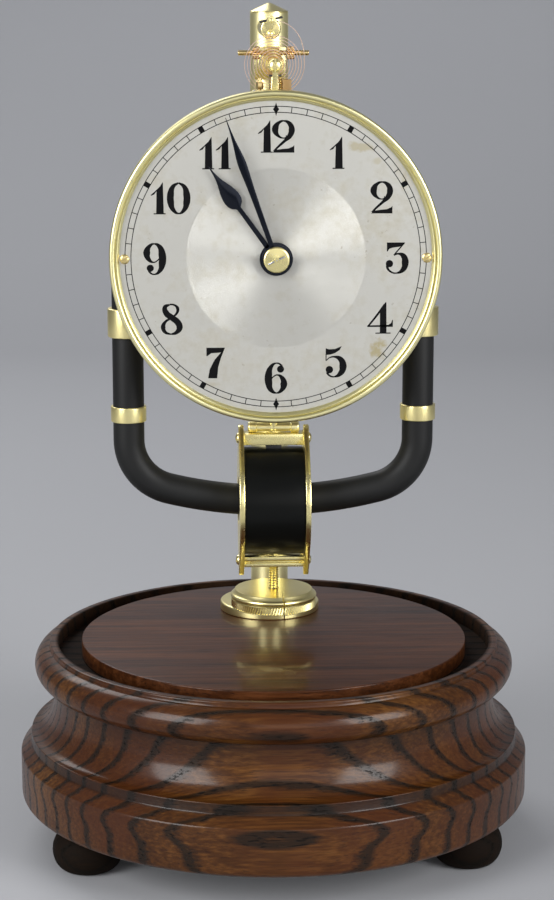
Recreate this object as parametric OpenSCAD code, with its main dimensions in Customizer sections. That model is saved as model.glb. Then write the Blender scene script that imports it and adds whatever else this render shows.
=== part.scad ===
/* [Base] */
// Diameter of the turned wooden base
base_d = 200; // [190:1:210]
// Height of the base body above its feet, up to the dome rim
base_h = 62.3; // [60:0.1:66]
// Height of the bun feet
foot_h = 17; // [14:0.5:20]
// Largest radius of a bun foot
foot_r = 13.5; // [11:0.5:15]
// Radius of the circle on which the feet stand
foot_ring_r = 84; // [78:1:86]
// Radius of the neck under the big torus
neck_r = 86.4; // [85:0.1:89]
// Largest radius of the big torus
torus_r = 94; // [92:0.5:96]
// Outer radius of the flat rim round the dome groove
rim_r = 88; // [86.5:0.1:89]
// Outer radius of the dome groove
groove_r = 84.6; // [82:0.1:85]
// Depth of the dome groove under the rim
groove_depth = 5.6; // [4:0.1:8]
// Radius of the separate platform disc
disc_r = 75.5; // [70:0.5:78]
// Thickness of the platform disc
disc_t = 6; // [4:0.5:8]

/* [Column] */
// Outer diameter of the column tube
column_d = 15; // [14:0.1:16]
// Wall of the column tube
column_wall = 1.2; // [0.8:0.1:1.6]
// Distance of the column behind the pendulum's plane
column_y = 40; // [36:0.5:46]
// Height of the tube's top edge above the pendulum's axis
column_rise = 18.5; // [16:0.5:24]
// Height of the conical cap above the tube
cap_cone_h = 3.8; // [2:0.1:6]
// Radius of the flange at the column's foot
flange_r = 20.2; // [17:0.1:23]
// Thickness of the flange
flange_t = 3.5; // [2.5:0.1:5]
// Diameter of the stud that holds the column down
stud_d = 6; // [5:0.5:7]
// Diameter of the dry cell
cell_d = 10.5; // [9:0.5:11]
// Length of the dry cell
cell_l = 44.5; // [36:0.5:48]

/* [Magnet] */
// Diameter of the bent magnet bar
bar_d = 12; // [10:0.5:13]
// Half the distance between the two legs, axis to axis
leg_x = 56; // [52:0.5:60]
// Radius of the two lower corners, on the bar's axis
corner_r = 20; // [16:0.5:24]
// Height of the legs' top ends above the ends of the corners
leg_rise = 62.5; // [58:0.5:70]
// Outer diameter of the upper clamps
clamp_d = 15.3; // [14.5:0.1:17]
// Height of an upper clamp
clamp_h = 11; // [8:0.5:14]
// Height of the middle of the upper clamps above the ends of the corners
clamp_rise = 46; // [38:0.5:50]
// Outer diameter of the lower collars
collar_d = 13.7; // [13.4:0.1:15]
// Height of a lower collar
collar_h = 6; // [4:0.5:8]
// Height of the middle of the lower collars above the ends of the corners
collar_rise = 10.5; // [7.5:0.5:21]

/* [Pendulum] */
// Gap between the platform and the end of the rating rod
rod_clear = 7.8; // [4:0.1:12]
// Distance from the axis down to the middle of the coil
swing_r = 168; // [164:0.5:170]
// Diameter of the coil winding
coil_d = 42; // [38:0.5:44]
// Width of the winding between its cheeks
coil_w = 23.3; // [20:0.1:26]
// Radius of the bobbin's hole, which passes along the magnet bar
coil_bore_r = 9; // [8.5:0.1:9.6]
// Thickness of a brass cheek
cheek_t = 2; // [1.2:0.1:2.6]
// How far a cheek's ring stands past the winding
cheek_rim = 0.8; // [0.4:0.1:1.4]
// Depth, front to back, of a cheek's lugs
lug_w = 9; // [7:0.5:11]
// Height of the top spacer bar
top_bar_h = 4.5; // [3:0.5:6]
// Gap between the winding and the top spacer bar
top_gap = 1.5; // [1:0.1:3]
// Height of the bottom spacer bar
bottom_bar_h = 4; // [3:0.5:5]
// Gap between the winding and the bottom spacer bar
bottom_gap = 1; // [0.6:0.1:2]
// Diameter of the pendulum rod
rod_d = 3.5; // [2.5:0.1:3.8]
// Diameter of the threaded rating rod
rating_d = 4; // [3:0.5:5]
// Radius of the rating bob
bob_r = 16.85; // [14:0.05:18]
// Thickness of the bob
bob_t = 3.4; // [2.5:0.1:4.5]
// Thickness of the knurled rating nut under the bob
nut_t = 3.5; // [2.5:0.1:4.5]
// Distance from the bottom spacer bar down to the bob's top face
bob_drop = 9.5; // [7:0.5:12]
// Half the length of the threaded cross arm
arm_half = 13.3; // [11:0.1:15]
// Height of the cross arm above the pendulum's axis
arm_rise = 4.2; // [3.8:0.1:5]
// Distance of each arm nut from the middle of the cross arm
arm_nut_x = 6.5; // [5:0.1:8]

/* [Hairspring] */
// Outer radius of the hairspring's last full turn
spring_r = 11.6; // [10.5:0.1:12]
// Radius of its innermost turn
spring_in_r = 3; // [2.8:0.1:4]
// Number of turns
spring_turns = 8; // [6:1:9]
// Thickness of the spring strip
spring_t = 0.3; // [0.2:0.05:0.4]
// Width of the spring strip
spring_w = 1.5; // [1:0.1:1.7]

/* [Dial] */
// Outer diameter of the bezel
bezel_d = 124; // [120:1:128]
// Visible width of the bezel
bezel_w = 4.5; // [4:0.1:6]
// Distance of the dial's centre below the pendulum's axis
dial_drop = 70.5; // [70:0.5:73]
// Distance of the dial's face in front of the pendulum's plane
dial_y = 24; // [23.8:0.1:26]
// Thickness of the dial plate
dial_t = 1; // [0.6:0.1:1.2]
// Length of the minute hand, centre to tip
minute_len = 55.5; // [48:0.5:56]
// Length of the hour hand, centre to tip
hour_len = 43; // [38:0.5:46]
// Turn of the minute hand from twelve, clockwise
minute_turn = -19.7; // [-180:0.1:180]
// Turn of the hour hand from twelve, clockwise
hour_turn = -36.1; // [-180:0.1:180]
// Thickness of a hand
hand_t = 0.7; // [0.5:0.05:0.9]

/* [Movement] */
// Module of the counting train's gears
train_m = 0.5; // [0.48:0.01:0.52]
// Distance between the centre arbor and the minute wheel's stud
motion_c = 14.4; // [13.5:0.1:15]
// Thickness of a gear
gear_t = 1.2; // [0.8:0.1:1.4]
// Thickness of a movement plate
plate_t = 2; // [1.5:0.1:2.2]
// Space between the two movement plates
plate_gap = 9; // [8.8:0.1:9.4]
// Width of the movement plates
plate_w = 56; // [52:1:60]
// Teeth of the count wheel
count_teeth = 75; // [60:1:90]
// Tip radius of the count wheel
count_r = 13; // [12:0.1:13.5]

/* [Fits] */
// Radial clearance of a running fit
run = 0.05; // [0.02:0.01:0.1]
// Clearance round a piece that passes through freely
free = 0.3; // [0.2:0.05:0.5]

/* [Hidden] */

$fn = 64;
brass = "#d8bd62";
dark_oak = "#4a2716";
platform_red = "#4b1f14";
charcoal = "#2a2b2c";
silvered = "#cfccc2";
steel = "#8a8d92";
black_steel = "#16181f";

// Heights of the base
base_z = foot_h;
rim_z = base_z + base_h;
groove_z = rim_z - groove_depth;
platform_z = groove_z + disc_t;
counterbore_r = 14;
counterbore_top = base_z + 14;
seat_step = 0.5;
seat_z = groove_z + seat_step;
groove_in_r = disc_r + 0.1;

// Heights of the pendulum, from the platform up
nut_gap = 0.1;
rating_past = 4;
rating_end = platform_z + rod_clear;
nut_bottom = rating_end + rating_past;
nut_top = nut_bottom + nut_t;
bob_bottom = nut_top + nut_gap;
bob_top = bob_bottom + bob_t;
bottom_bar_z = bob_top + bob_drop;
coil_r = coil_d / 2;
coil_z = bottom_bar_z + bottom_bar_h + bottom_gap + coil_r;
pivot_z = coil_z + swing_r;
dial_z = pivot_z - dial_drop;

// Magnet, concentric with the pendulum's axis
bar_r = bar_d / 2;
corner_c = swing_r - corner_r;
corner_a = asin((leg_x - corner_r) / corner_c);
corner_z = pivot_z - corner_c * cos(corner_a);
leg_top = corner_z + leg_rise;
clamp_z = corner_z + clamp_rise;
collar_z = corner_z + collar_rise;
clamp_screw_r = 1;

// Coil cage
half_w = coil_w / 2;
cheek_x = half_w + cheek_t;
top_bar_z = coil_z + coil_r + top_gap;
block_z = top_bar_z + top_bar_h;
knob_r = 2.1;
block_h = 2 * knob_r;
bar_half_y = 3.9;
cage_shank_r = 1;
lug_past = 3;
top_screw_z = top_bar_z + top_bar_h / 2;
bottom_screw_z = bottom_bar_z + bottom_bar_h / 2;

// Pendulum arbor, front to back
hub_half = 2.2;
arbor_r = 1.25;
pivot_r = 0.6;
pivot_len = 2;
arbor_front = -12.6;
arbor_back = 8;
pivot_block_front = arbor_back + 0.2;
arm_z = pivot_z + arm_rise;
arm_r = 1.1;
nut_r = 2.4;
nut_w = 2.6;
stud_x = -1;
stud_z = pivot_z + 13;
boss_r = 3.9;
boss_front = 1;
post_z = pivot_z + 16.2;
post_r = 1.7;
spring_y = -4.4;
spring_end_r = post_z - pivot_z;
spring_end_a = acos((stud_x + post_r + run) / spring_end_r);
pawl_x = -7;
pawl_drop = 11;
pawl_pin_r = 0.6;
tooth_clear = 0.3;
arbor_tip_r = 1;
pawl_z = pivot_z - pawl_drop;

// Column
column_r = column_d / 2;
column_top = pivot_z + column_rise;
column_in_r = column_r - column_wall;
column_front = column_y - column_r;
cell_top = column_top - 8;
web_top = cell_top - cell_l;
web_t = 4;
foot_plug_h = 12;

// Movement, front to back: negative y is towards the dial
back_y = -6;
back_in = back_y - plate_t;
front_in = back_in - plate_gap;
front_y = front_in - plate_t;
dial_back = -dial_y + dial_t;
inter_teeth = 48;
centre_teeth = 80;
leaves = 8;
inter_z = dial_z + train_m * (centre_teeth + leaves) / 2;
count_z = inter_z + train_m * (inter_teeth + leaves) / 2;
cannon_teeth = 12;
minute_teeth = 36;
minute_leaves = 10;
hour_teeth = 40;
motion_m = 2 * motion_c / (cannon_teeth + minute_teeth);
hour_m = 2 * motion_c / (minute_leaves + hour_teeth);
motion_a = -40;
motion_x = motion_c * cos(motion_a);
motion_z = dial_z + motion_c * sin(motion_a);
arbor_front_r = 1.5;
train_r = 0.8;
count_arbor_r = 1;
cannon_r = 2.5;
pipe_in_r = cannon_r + run;
pipe_r = 3.3;
plate_top = count_z + 18.5;
plate_low = dial_z - 29;
plate_arc_r = 47;
plate_arc_z = dial_z + 11.5;
bracket_z = dial_z + 9.5;
pillar_x = plate_w / 2 - 5;
pillar_low = plate_low + 9.5;
pillar_high = plate_top - 18;
motion_stud_r = 1;
motion_back = front_y - 0.5;
hour_wheel_back = motion_back - gear_t - 0.4;
motion_front = hour_wheel_back - gear_t;
bezel_wall = 1.8;
dial_head_r = 1.9;
dial_shank_r = 1;
cock_y = front_in;
pivot_screw_r = 1.3;
cock_t = 2;
ratchet_t = 1.2;
ratchet_front = back_y + 0.5;
ratchet_back = ratchet_front + ratchet_t;
pawl_back = ratchet_back - 0.2;
click_stud_r = 1;
bracket_x = plate_w / 2 - 2;
click_x = 22;
click_z = count_z + 11.5;
bezel_r = bezel_d / 2;
bezel_in = bezel_r - bezel_w;
dial_screw_r = bezel_in - 1.2;
hour_back = -dial_y - 1.6;
minute_back = hour_back - hand_t - 1.3;
collet_back = minute_back - hand_t;
collet_h = 1.3;
arbor_tip = collet_back - collet_h - 1.6;
pin_y = collet_back - collet_h - 0.75;

// Points along an ellipse's arc, for turned profiles
function arc(cx, cy, rx, ry, a0, a1, n) =
  [for (i = [0:n]) let (a = a0 + (a1 - a0) * i / n) [cx + rx * cos(a), cy + ry * sin(a)]];

// Round bars along each direction; an end is given by its own coordinate
module bar_x(x0, x1, y, z, r) {
  translate([x0, y, z])
    rotate([0, 90, 0])
      cylinder(h = x1 - x0, r = r);
}

module bar_y(y0, y1, x, z, r) {
  translate([x, y1, z])
    rotate([90, 0, 0])
      cylinder(h = y1 - y0, r = r);
}

module bar_z(z0, z1, x, y, r) {
  translate([x, y, z0])
    cylinder(h = z1 - z0, r = r);
}

module box(x0, x1, y0, y1, z0, z1) {
  translate([x0, y0, z0])
    cube([x1 - x0, y1 - y0, z1 - z0]);
}

// Upright plate: its outline is drawn in x and z, as seen from the front
module plate(y0, y1) {
  translate([0, y1, 0])
    rotate([90, 0, 0])
      linear_extrude(y1 - y0)
        children();
}

// Turned piece about an axis along y: the profile's second value is the distance forward
module turned_y(x, z) {
  translate([x, 0, z])
    rotate([90, 0, 0])
      rotate_extrude()
        children();
}

module base_body() {
  wall_r = base_d / 2;
  ledge_z = base_z + 20.2;
  ridge_z = ledge_z + 6;
  neck_z = ledge_z + 21.3;
  torus_z = rim_z - 8.7;
  torus_h = 7;
  outline = concat(
    [[0, base_z]],
    arc(wall_r - 3, base_z + 3, 3, 3, -90, 0, 6),
    arc(wall_r - 1, ledge_z - 1, 1, 1, 0, 90, 4),
    arc(wall_r - 6.8, ridge_z, 2.8, ridge_z - ledge_z - 0.8, -90, 0, 6),
    arc(wall_r - 4, neck_z, wall_r - 4 - neck_r, neck_z - ridge_z, 270, 180, 12),
    arc(neck_r, torus_z, torus_r - neck_r, torus_h, -90, 76, 16),
    [[rim_r, rim_z - 1.4]],
    arc(rim_r - 0.7, rim_z - 0.7, 0.7, 0.7, 0, 90, 4),
    arc(groove_r + 0.6, rim_z - 0.6, 0.6, 0.6, 90, 180, 4),
    [[groove_r, groove_z], [groove_in_r, groove_z], [groove_in_r, seat_z], [0, seat_z]]
  );
  color(dark_oak)
    difference() {
      rotate_extrude($fn = 128)
        polygon(outline);
      bar_z(base_z - 1, counterbore_top, 0, column_y, counterbore_r);
      bar_z(base_z, rim_z, 0, column_y, stud_d / 2 + free);
    }
}

module platform_disc() {
  edge = 0.5;
  color(platform_red)
    difference() {
      rotate_extrude($fn = 128)
        polygon(concat(
          [[0, seat_z], [disc_r, seat_z]],
          arc(disc_r - edge, platform_z - edge, edge, edge, 0, 90, 4),
          [[0, platform_z]]
        ));
      bar_z(seat_z - 1, platform_z + 1, 0, column_y, stud_d / 2 + free);
    }
}

module bun_feet() {
  bulge = 6;
  neck = foot_r - 3.4;
  mid = foot_h * 0.47;
  color(dark_oak)
    for (turn = [-60, 60, 180])
      rotate([0, 0, turn])
        translate([0, -foot_ring_r, 0])
          rotate_extrude()
            polygon(concat(
              [[0, 0]],
              arc(foot_r - bulge, mid, bulge, mid, -90, 50, 12),
              [[neck, foot_h - 1], [neck, foot_h], [0, foot_h]]
            ));
}

module column_flange() {
  edge = 0.8;
  collar = 1.6;
  color(brass)
    translate([0, column_y, platform_z])
      rotate_extrude()
        polygon(concat(
          [[column_r, 0], [flange_r - 0.3, 0], [flange_r, 0.3]],
          arc(flange_r - edge, flange_t - edge, edge, edge, 0, 90, 4),
          arc(column_r + collar, flange_t + 1, 1, 1, 270, 180, 4),
          [[column_r, flange_t + 1]]
        ));
}

module column_tube() {
  color(brass)
    difference() {
      bar_z(platform_z, column_top, 0, column_y, column_r);
      bar_z(platform_z - 1, web_top - web_t, 0, column_y, column_in_r);
      bar_z(web_top, column_top + 1, 0, column_y, column_in_r);
    }
}

module column_stud() {
  color(brass) {
    bar_z(platform_z, platform_z + foot_plug_h, 0, column_y, column_in_r);
    bar_z(base_z + 4, platform_z + 1, 0, column_y, stud_d / 2);
  }
}

module column_nut() {
  washer_r = 9;
  washer_t = 1.6;
  nut_h = 5;
  color(brass)
    translate([0, column_y, 0])
      difference() {
        union() {
          translate([0, 0, counterbore_top - washer_t])
            cylinder(h = washer_t, r = washer_r);
          translate([0, 0, counterbore_top - washer_t - nut_h])
            cylinder(h = nut_h, r = stud_d * 0.95, $fn = 6);
        }
        bar_z(base_z, counterbore_top + 1, 0, 0, stud_d / 2);
      }
}

module dry_cell() {
  nub_r = 1.9;
  nub_h = 1.2;
  color("#6a2f22")
    translate([0, column_y, web_top])
      rotate_extrude()
        polygon([
          [0, 0], [cell_d / 2 - 0.4, 0], [cell_d / 2, 0.4], [cell_d / 2, cell_l - nub_h - 0.4],
          [cell_d / 2 - 0.4, cell_l - nub_h], [nub_r, cell_l - nub_h], [nub_r, cell_l], [0, cell_l]
        ]);
}

module column_cap() {
  spigot_h = 6;
  button_r = 2;
  color(brass)
    translate([0, column_y, column_top])
      rotate_extrude()
        polygon([
          [0, cap_cone_h], [0.9, cap_cone_h - 0.15], [column_r, 0.5], [column_r, 0],
          [column_in_r - run, 0], [column_in_r - run, -spigot_h], [button_r, -spigot_h],
          [button_r, cell_top - column_top + run], [0, cell_top - column_top + run]
        ]);
}

// Stations along the magnet bar's axis: x, z and the angle of the outward direction
bar_sides = 32;
bar_stations = concat(
  [[-leg_x, leg_top, 180]],
  [for (i = [0:9]) let (a = 180 + (90 - corner_a) * i / 9)
    [-(leg_x - corner_r) + corner_r * cos(a), corner_z + corner_r * sin(a), a]],
  [for (i = [1:9]) let (a = 270 - corner_a + 2 * corner_a * i / 10)
    [swing_r * cos(a), pivot_z + swing_r * sin(a), a]],
  [for (i = [0:9]) let (a = 270 + corner_a + (90 - corner_a) * i / 9)
    [leg_x - corner_r + corner_r * cos(a), corner_z + corner_r * sin(a), a]],
  [[leg_x, leg_top, 360]]
);

function bar_ring(at) =
  [for (k = [0:bar_sides - 1]) let (t = 360 * k / bar_sides, out = bar_r * cos(t))
    [at[0] + out * cos(at[2]), bar_r * sin(t), at[1] + out * sin(at[2])]];

module magnet_bar() {
  last = (len(bar_stations) - 1) * bar_sides;
  color(charcoal)
    polyhedron(
      points = [for (at = bar_stations) each bar_ring(at)],
      faces = concat(
        [[for (k = [0:bar_sides - 1]) k]],
        [for (i = [0:len(bar_stations) - 2], k = [0:bar_sides - 1])
          let (a = i * bar_sides, b = a + bar_sides, n = (k + 1) % bar_sides)
          [a + n, a + k, b + k, b + n]],
        [[for (k = [bar_sides - 1:-1:0]) last + k]]
      )
    );
}

// Ring round a magnet leg, with slightly rounded edges
module leg_ring(side, mid_z, h, outer_r, edge) {
  translate([side * leg_x, 0, mid_z - h / 2])
    rotate_extrude()
      polygon(concat(
        [[bar_r, 0]],
        arc(outer_r - edge, edge, edge, edge, -90, 0, 3),
        arc(outer_r - edge, h - edge, edge, edge, 0, 90, 3),
        [[bar_r, h]]
      ));
}

module magnet_clamp(side) {
  color(brass)
    difference() {
      leg_ring(side, clamp_z, clamp_h, clamp_d / 2, 0.4);
      bar_y(-clamp_d, 0, side * leg_x, clamp_z, clamp_screw_r);
    }
}

module magnet_clamp_left() {
  magnet_clamp(-1);
}

module magnet_clamp_right() {
  magnet_clamp(1);
}

module magnet_collar(side) {
  color(brass)
    leg_ring(side, collar_z, collar_h, collar_d / 2, 0.3);
}

module magnet_collar_left() {
  magnet_collar(-1);
}

module magnet_collar_right() {
  magnet_collar(1);
}

module clamp_screws() {
  color(brass)
    for (side = [-1, 1]) {
      bar_y(-clamp_d / 2, -bar_r, side * leg_x, clamp_z, clamp_screw_r);
      turned_y(side * leg_x, clamp_z)
        polygon(concat([[0, clamp_d / 2]], arc(0, clamp_d / 2, 1.8, 0.9, 0, 90, 4)));
    }
}

module magnet_yoke() {
  arm_w = 7;
  arm_h = 6;
  ring_h = 8;
  color(brass)
    difference() {
      union() {
        bar_z(clamp_z - ring_h / 2, clamp_z + ring_h / 2, 0, column_y, column_r + 3.5);
        for (side = [-1, 1])
          translate([0, column_y, clamp_z - arm_h / 2])
            rotate([0, 0, atan2(-column_y, side * leg_x)])
              translate([0, -arm_w / 2, 0])
                cube([norm([leg_x, column_y]), arm_w, arm_h]);
      }
      bar_z(clamp_z - ring_h, clamp_z + ring_h, 0, column_y, column_r);
      for (side = [-1, 1])
        bar_z(clamp_z - ring_h, clamp_z + ring_h, side * leg_x, 0, clamp_d / 2);
    }
}

module movement_bracket() {
  bar_h = 6;
  ring_h = 10;
  color(brass)
    difference() {
      union() {
        bar_z(bracket_z - ring_h / 2, bracket_z + ring_h / 2, 0, column_y, column_r + 3.5);
        translate([0, 0, bracket_z - bar_h / 2]) {
          box(-bracket_x, bracket_x, column_y - 4, column_y + 4, 0, bar_h);
          for (side = [-1, 1])
            translate([side * (bracket_x - 2), 0, 0])
              box(-2, 2, back_y, column_y + 4, 0, bar_h);
        }
      }
      bar_z(bracket_z - ring_h, bracket_z + ring_h, 0, column_y, column_r);
    }
}

module plate_outline() {
  intersection() {
    translate([0, plate_arc_z])
      circle(plate_arc_r, $fn = 128);
    translate([-plate_w / 2, plate_low])
      square([plate_w, plate_top - plate_low]);
  }
}

module back_plate() {
  color(brass) {
    difference() {
      plate(back_in, back_y)
        plate_outline();
      bar_y(back_in - 1, back_y + 1, 0, dial_z, count_arbor_r + run);
      bar_y(back_in - 1, back_y + 1, 0, inter_z, train_r + run);
      bar_y(back_in - 1, back_y + 1, 0, count_z, count_arbor_r + run);
    }
    bar_y(back_y, ratchet_back + 0.4, click_x, click_z, click_stud_r);
  }
}

module front_plate() {
  color(brass)
    difference() {
      plate(front_y, front_in)
        plate_outline();
      bar_y(front_y - 1, front_in + 1, 0, dial_z, arbor_front_r + run);
      bar_y(front_y - 1, front_in + 1, 0, inter_z, train_r + run);
      bar_y(front_y - 1, front_in + 1, 0, count_z, train_r + run);
      bar_y(front_y - 1, front_in + 1, motion_x, motion_z, motion_stud_r);
    }
}

module motion_stud() {
  color(steel)
    bar_y(motion_front - 0.2, front_in, motion_x, motion_z, motion_stud_r);
}

module plate_pillars() {
  end_r = 2.6;
  waist_r = 2;
  end_h = 1.5;
  color(brass)
    for (x = [-pillar_x, pillar_x], z = [pillar_low, pillar_high])
      turned_y(x, z)
        polygon([
          [0, -back_in], [end_r, -back_in], [end_r, -back_in + end_h], [waist_r, -back_in + end_h + 0.6],
          [waist_r, -front_in - end_h - 0.6], [end_r, -front_in - end_h], [end_r, -front_in], [0, -front_in]
        ]);
}

// Round screw head that sits on a face at distance face forward of the pendulum's plane
module head_y(x, z, face, r, h) {
  turned_y(x, z)
    polygon(concat([[0, face]], arc(0, face, r, h, 0, 90, 5)));
}

module plate_screws() {
  head_r = 2.2;
  head_h = 1.1;
  color(steel) {
    for (x = [-pillar_x, pillar_x], z = [pillar_low, pillar_high])
      head_y(x, z, -front_y, head_r, head_h);
    for (side = [-1, 1])
      head_y(side * (bracket_x - 2), bracket_z, -back_in, head_r, head_h);
  }
}

module dial_feet() {
  foot_x = plate_w / 2 - 6;
  color(brass)
    for (at = [[-foot_x, 18.5], [foot_x, 18.5], [0, plate_low - dial_z + 4.5]])
      bar_y(dial_back, front_y, at[0], dial_z + at[1], 1.5);
}

module dial_plate() {
  color(silvered)
    plate(-dial_y, dial_back)
      difference() {
        translate([0, dial_z])
          circle(bezel_r - bezel_wall, $fn = 160);
        translate([0, dial_z])
          circle(pipe_r + free);
        for (side = [-1, 1])
          translate([side * dial_screw_r, dial_z])
            circle(dial_shank_r);
      }
}

module bezel() {
  in_bead = 1.1;
  out_bead = 1.4;
  lug_h = 3;
  lug_t = 2;
  skirt = bezel_r - bezel_wall;
  color(brass)
    difference() {
      union() {
        turned_y(0, dial_z, $fn = 160)
          polygon(concat(
            [[bezel_in, dial_y]],
            arc(bezel_in + in_bead, dial_y + in_bead, in_bead, in_bead, 180, 20, 8),
            arc(bezel_r - out_bead, dial_y + out_bead * 0.8, out_bead, out_bead, 160, 0, 8),
            [[bezel_r, dial_y - 5], [skirt, dial_y - 5], [skirt, dial_y]]
          ));
        for (side = [0, 1])
          mirror([side, 0, 0])
            box(dial_screw_r - 2, skirt + 0.6, dial_back, dial_back + lug_t, dial_z - lug_h, dial_z + lug_h);
      }
      for (side = [-1, 1]) {
        bar_y(-dial_y - 5, -dial_y, side * dial_screw_r, dial_z, dial_head_r + free);
        bar_y(-dial_y, 0, side * dial_screw_r, dial_z, dial_shank_r);
      }
    }
}

module dial_screws() {
  head_h = 0.9;
  slot_w = 0.45;
  color(brass)
    for (side = [-1, 1])
      translate([side * dial_screw_r, 0, dial_z])
        difference() {
          union() {
            head_y(0, 0, dial_y, dial_head_r, head_h);
            bar_y(-dial_y, dial_back + 2, 0, 0, dial_shank_r);
          }
          rotate([0, 60, 0])
            box(-3, 3, -dial_y - 2, -dial_y - head_h / 2, -slot_w / 2, slot_w / 2);
        }
}

module pivot_block() {
  post_r = 4.5;
  saddle = 6;
  color(brass)
    difference() {
      union() {
        bar_y(pivot_block_front, column_y, 0, pivot_z, post_r);
        box(-saddle, saddle, column_front - 2, column_y, pivot_z - 7, pivot_z + 5.5);
      }
      bar_z(pivot_z - 20, pivot_z + 20, 0, column_y, column_r);
      bar_y(pivot_block_front - 1, arbor_back + pivot_len + 0.4, 0, pivot_z, pivot_r + run);
    }
}

module front_cock() {
  half = 1;
  foot_half = 4;
  foot_top = plate_top - 5;
  color(brass)
    difference() {
      union() {
        box(-half, half, cock_y, cock_y + cock_t, foot_top - 1, pivot_z);
        box(-foot_half, foot_half, cock_y, cock_y + cock_t, foot_top - 10, foot_top);
        bar_y(cock_y, cock_y + cock_t, 0, pivot_z, 2.6);
        bar_x(-2.3, 2.3, cock_y + cock_t / 2, pivot_z - 3.6, 0.4);
      }
      bar_y(cock_y - 1, cock_y + cock_t + 1, 0, pivot_z, pivot_screw_r);
    }
}

module pivot_screw() {
  head_r = 2.5;
  head_h = 1.4;
  slot_w = 0.5;
  tip_y = arbor_front - 0.2;
  color(brass)
    difference() {
      union() {
        head_y(0, pivot_z, -cock_y, head_r, head_h);
        bar_y(cock_y, tip_y, 0, pivot_z, pivot_screw_r);
      }
      box(-slot_w / 2, slot_w / 2, cock_y - 3, cock_y - head_h / 2, pivot_z - 4, pivot_z + 4);
      bar_y(arbor_front - pivot_len - 0.4, tip_y + 1, 0, pivot_z, pivot_r + run);
    }
}

// The stud pin's axis: through the post, right end higher
module stud_pin_bar() {
  translate([stud_x, spring_y + spring_w / 2, post_z + 0.35])
    rotate([0, -12, 0])
      bar_x(-4.4, 4.4, 0, 0, 0.45);
}

module spring_stud() {
  color(brass)
    difference() {
      union() {
        turned_y(stud_x, stud_z)
          polygon(concat(
            [[0, -column_y], [boss_r, -column_y]],
            arc(boss_r - 0.8, -boss_front - 0.8, 0.8, 0.8, 0, 90, 4),
            [[0, -boss_front]]
          ));
        bar_y(spring_y - 1.1, boss_front + 1, stud_x, post_z, post_r);
      }
      bar_z(stud_z - 20, stud_z + 20, 0, column_y, column_r);
      stud_pin_bar();
    }
}

module stud_pin() {
  color(black_steel)
    stud_pin_bar();
}

// Radius of the hairspring's middle line at an angle, which ends in a rising outer curve
function spring_at(a) = a <= 0
  ? spring_r + (spring_r - spring_in_r) * a / (360 * spring_turns)
  : spring_r + (spring_end_r - spring_r) * (1 - cos(180 * a / spring_end_a)) / 2;

spring_steps = 24;
spring_angles = concat(
  [for (i = [0:spring_steps * spring_turns]) -360 * spring_turns + 360 * i / spring_steps],
  [for (i = [1:8]) spring_end_a * i / 8]
);

function spring_edge(off) =
  [for (a = spring_angles) (spring_at(a) + off) * [cos(a), sin(a)]];

function reversed(list) = [for (i = [len(list) - 1:-1:0]) list[i]];

spring_line = spring_edge(0);
spring_gap = min([
  for (i = [0:len(spring_line) - 1])
    for (j = [i + spring_steps / 2:1:len(spring_line) - 1])
      norm(spring_line[i] - spring_line[j])
]) - spring_t;

module hairspring() {
  echo(least_gap_of_hairspring = spring_gap);
  color("#b87c5a")
    plate(spring_y, spring_y + spring_w)
      translate([0, pivot_z])
        polygon(concat(spring_edge(-spring_t / 2), reversed(spring_edge(spring_t / 2))));
}

module terminals() {
  mid_y = back_in + 0.1;
  strip_t = 2.5;
  top = plate_top + 11.2;
  color("#b5793f")
    union() {
      box(-7.5, 7.5, mid_y - 1.5, mid_y + 1.5, plate_top, plate_top + strip_t);
      bar_z(plate_top, top, -5.4, mid_y, 0.7);
      bar_z(top - 4, top - 1.6, -5.4, mid_y, 1.4);
      bar_z(plate_top, top, 2.3, mid_y, 0.9);
      box(3.1, 6.4, mid_y - 1.4, mid_y + 1.4, plate_top, top - 0.4);
    }
}

module pendulum_arbor() {
  collet_r = 2;
  hub_top = arm_z + 2.4;
  color(brass)
    difference() {
      union() {
        bar_y(arbor_front, arbor_back, 0, pivot_z, arbor_r);
        bar_y(arbor_front - pivot_len, arbor_back + pivot_len, 0, pivot_z, pivot_r);
        bar_y(spring_y - 0.2, 0, 0, pivot_z, collet_r);
        box(-hub_half, hub_half, -hub_half, hub_half, pivot_z - 4, hub_top);
      }
      bar_x(-hub_half - 1, hub_half + 1, 0, arm_z, arm_r);
      bar_z(pivot_z - 5, pivot_z - arbor_r, 0, 0, rod_d / 2);
    }
}

module pendulum_rod() {
  eye_r = 1.5;
  color(brass) {
    bar_z(block_z + 1, pivot_z - arbor_r, 0, 0, rod_d / 2);
    box(pawl_x, 0, -1, 1, pawl_z - 1, pawl_z + 1);
    bar_y(-1.2, 1.2, pawl_x, pawl_z, eye_r);
    bar_y(ratchet_front - 0.3, 0, pawl_x, pawl_z, pawl_pin_r);
  }
}

module cross_arm() {
  color(brass)
    bar_x(-arm_half, arm_half, 0, arm_z, arm_r);
}

module arm_nut(side) {
  edge = 0.3;
  color(brass)
    translate([side * arm_nut_x - nut_w / 2, 0, arm_z])
      rotate([0, 90, 0])
        rotate_extrude()
          polygon([
            [arm_r + run, 0], [nut_r - edge, 0], [nut_r, edge],
            [nut_r, nut_w - edge], [nut_r - edge, nut_w], [arm_r + run, nut_w]
          ]);
}

module arm_nut_left() {
  arm_nut(-1);
}

module arm_nut_right() {
  arm_nut(1);
}

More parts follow.
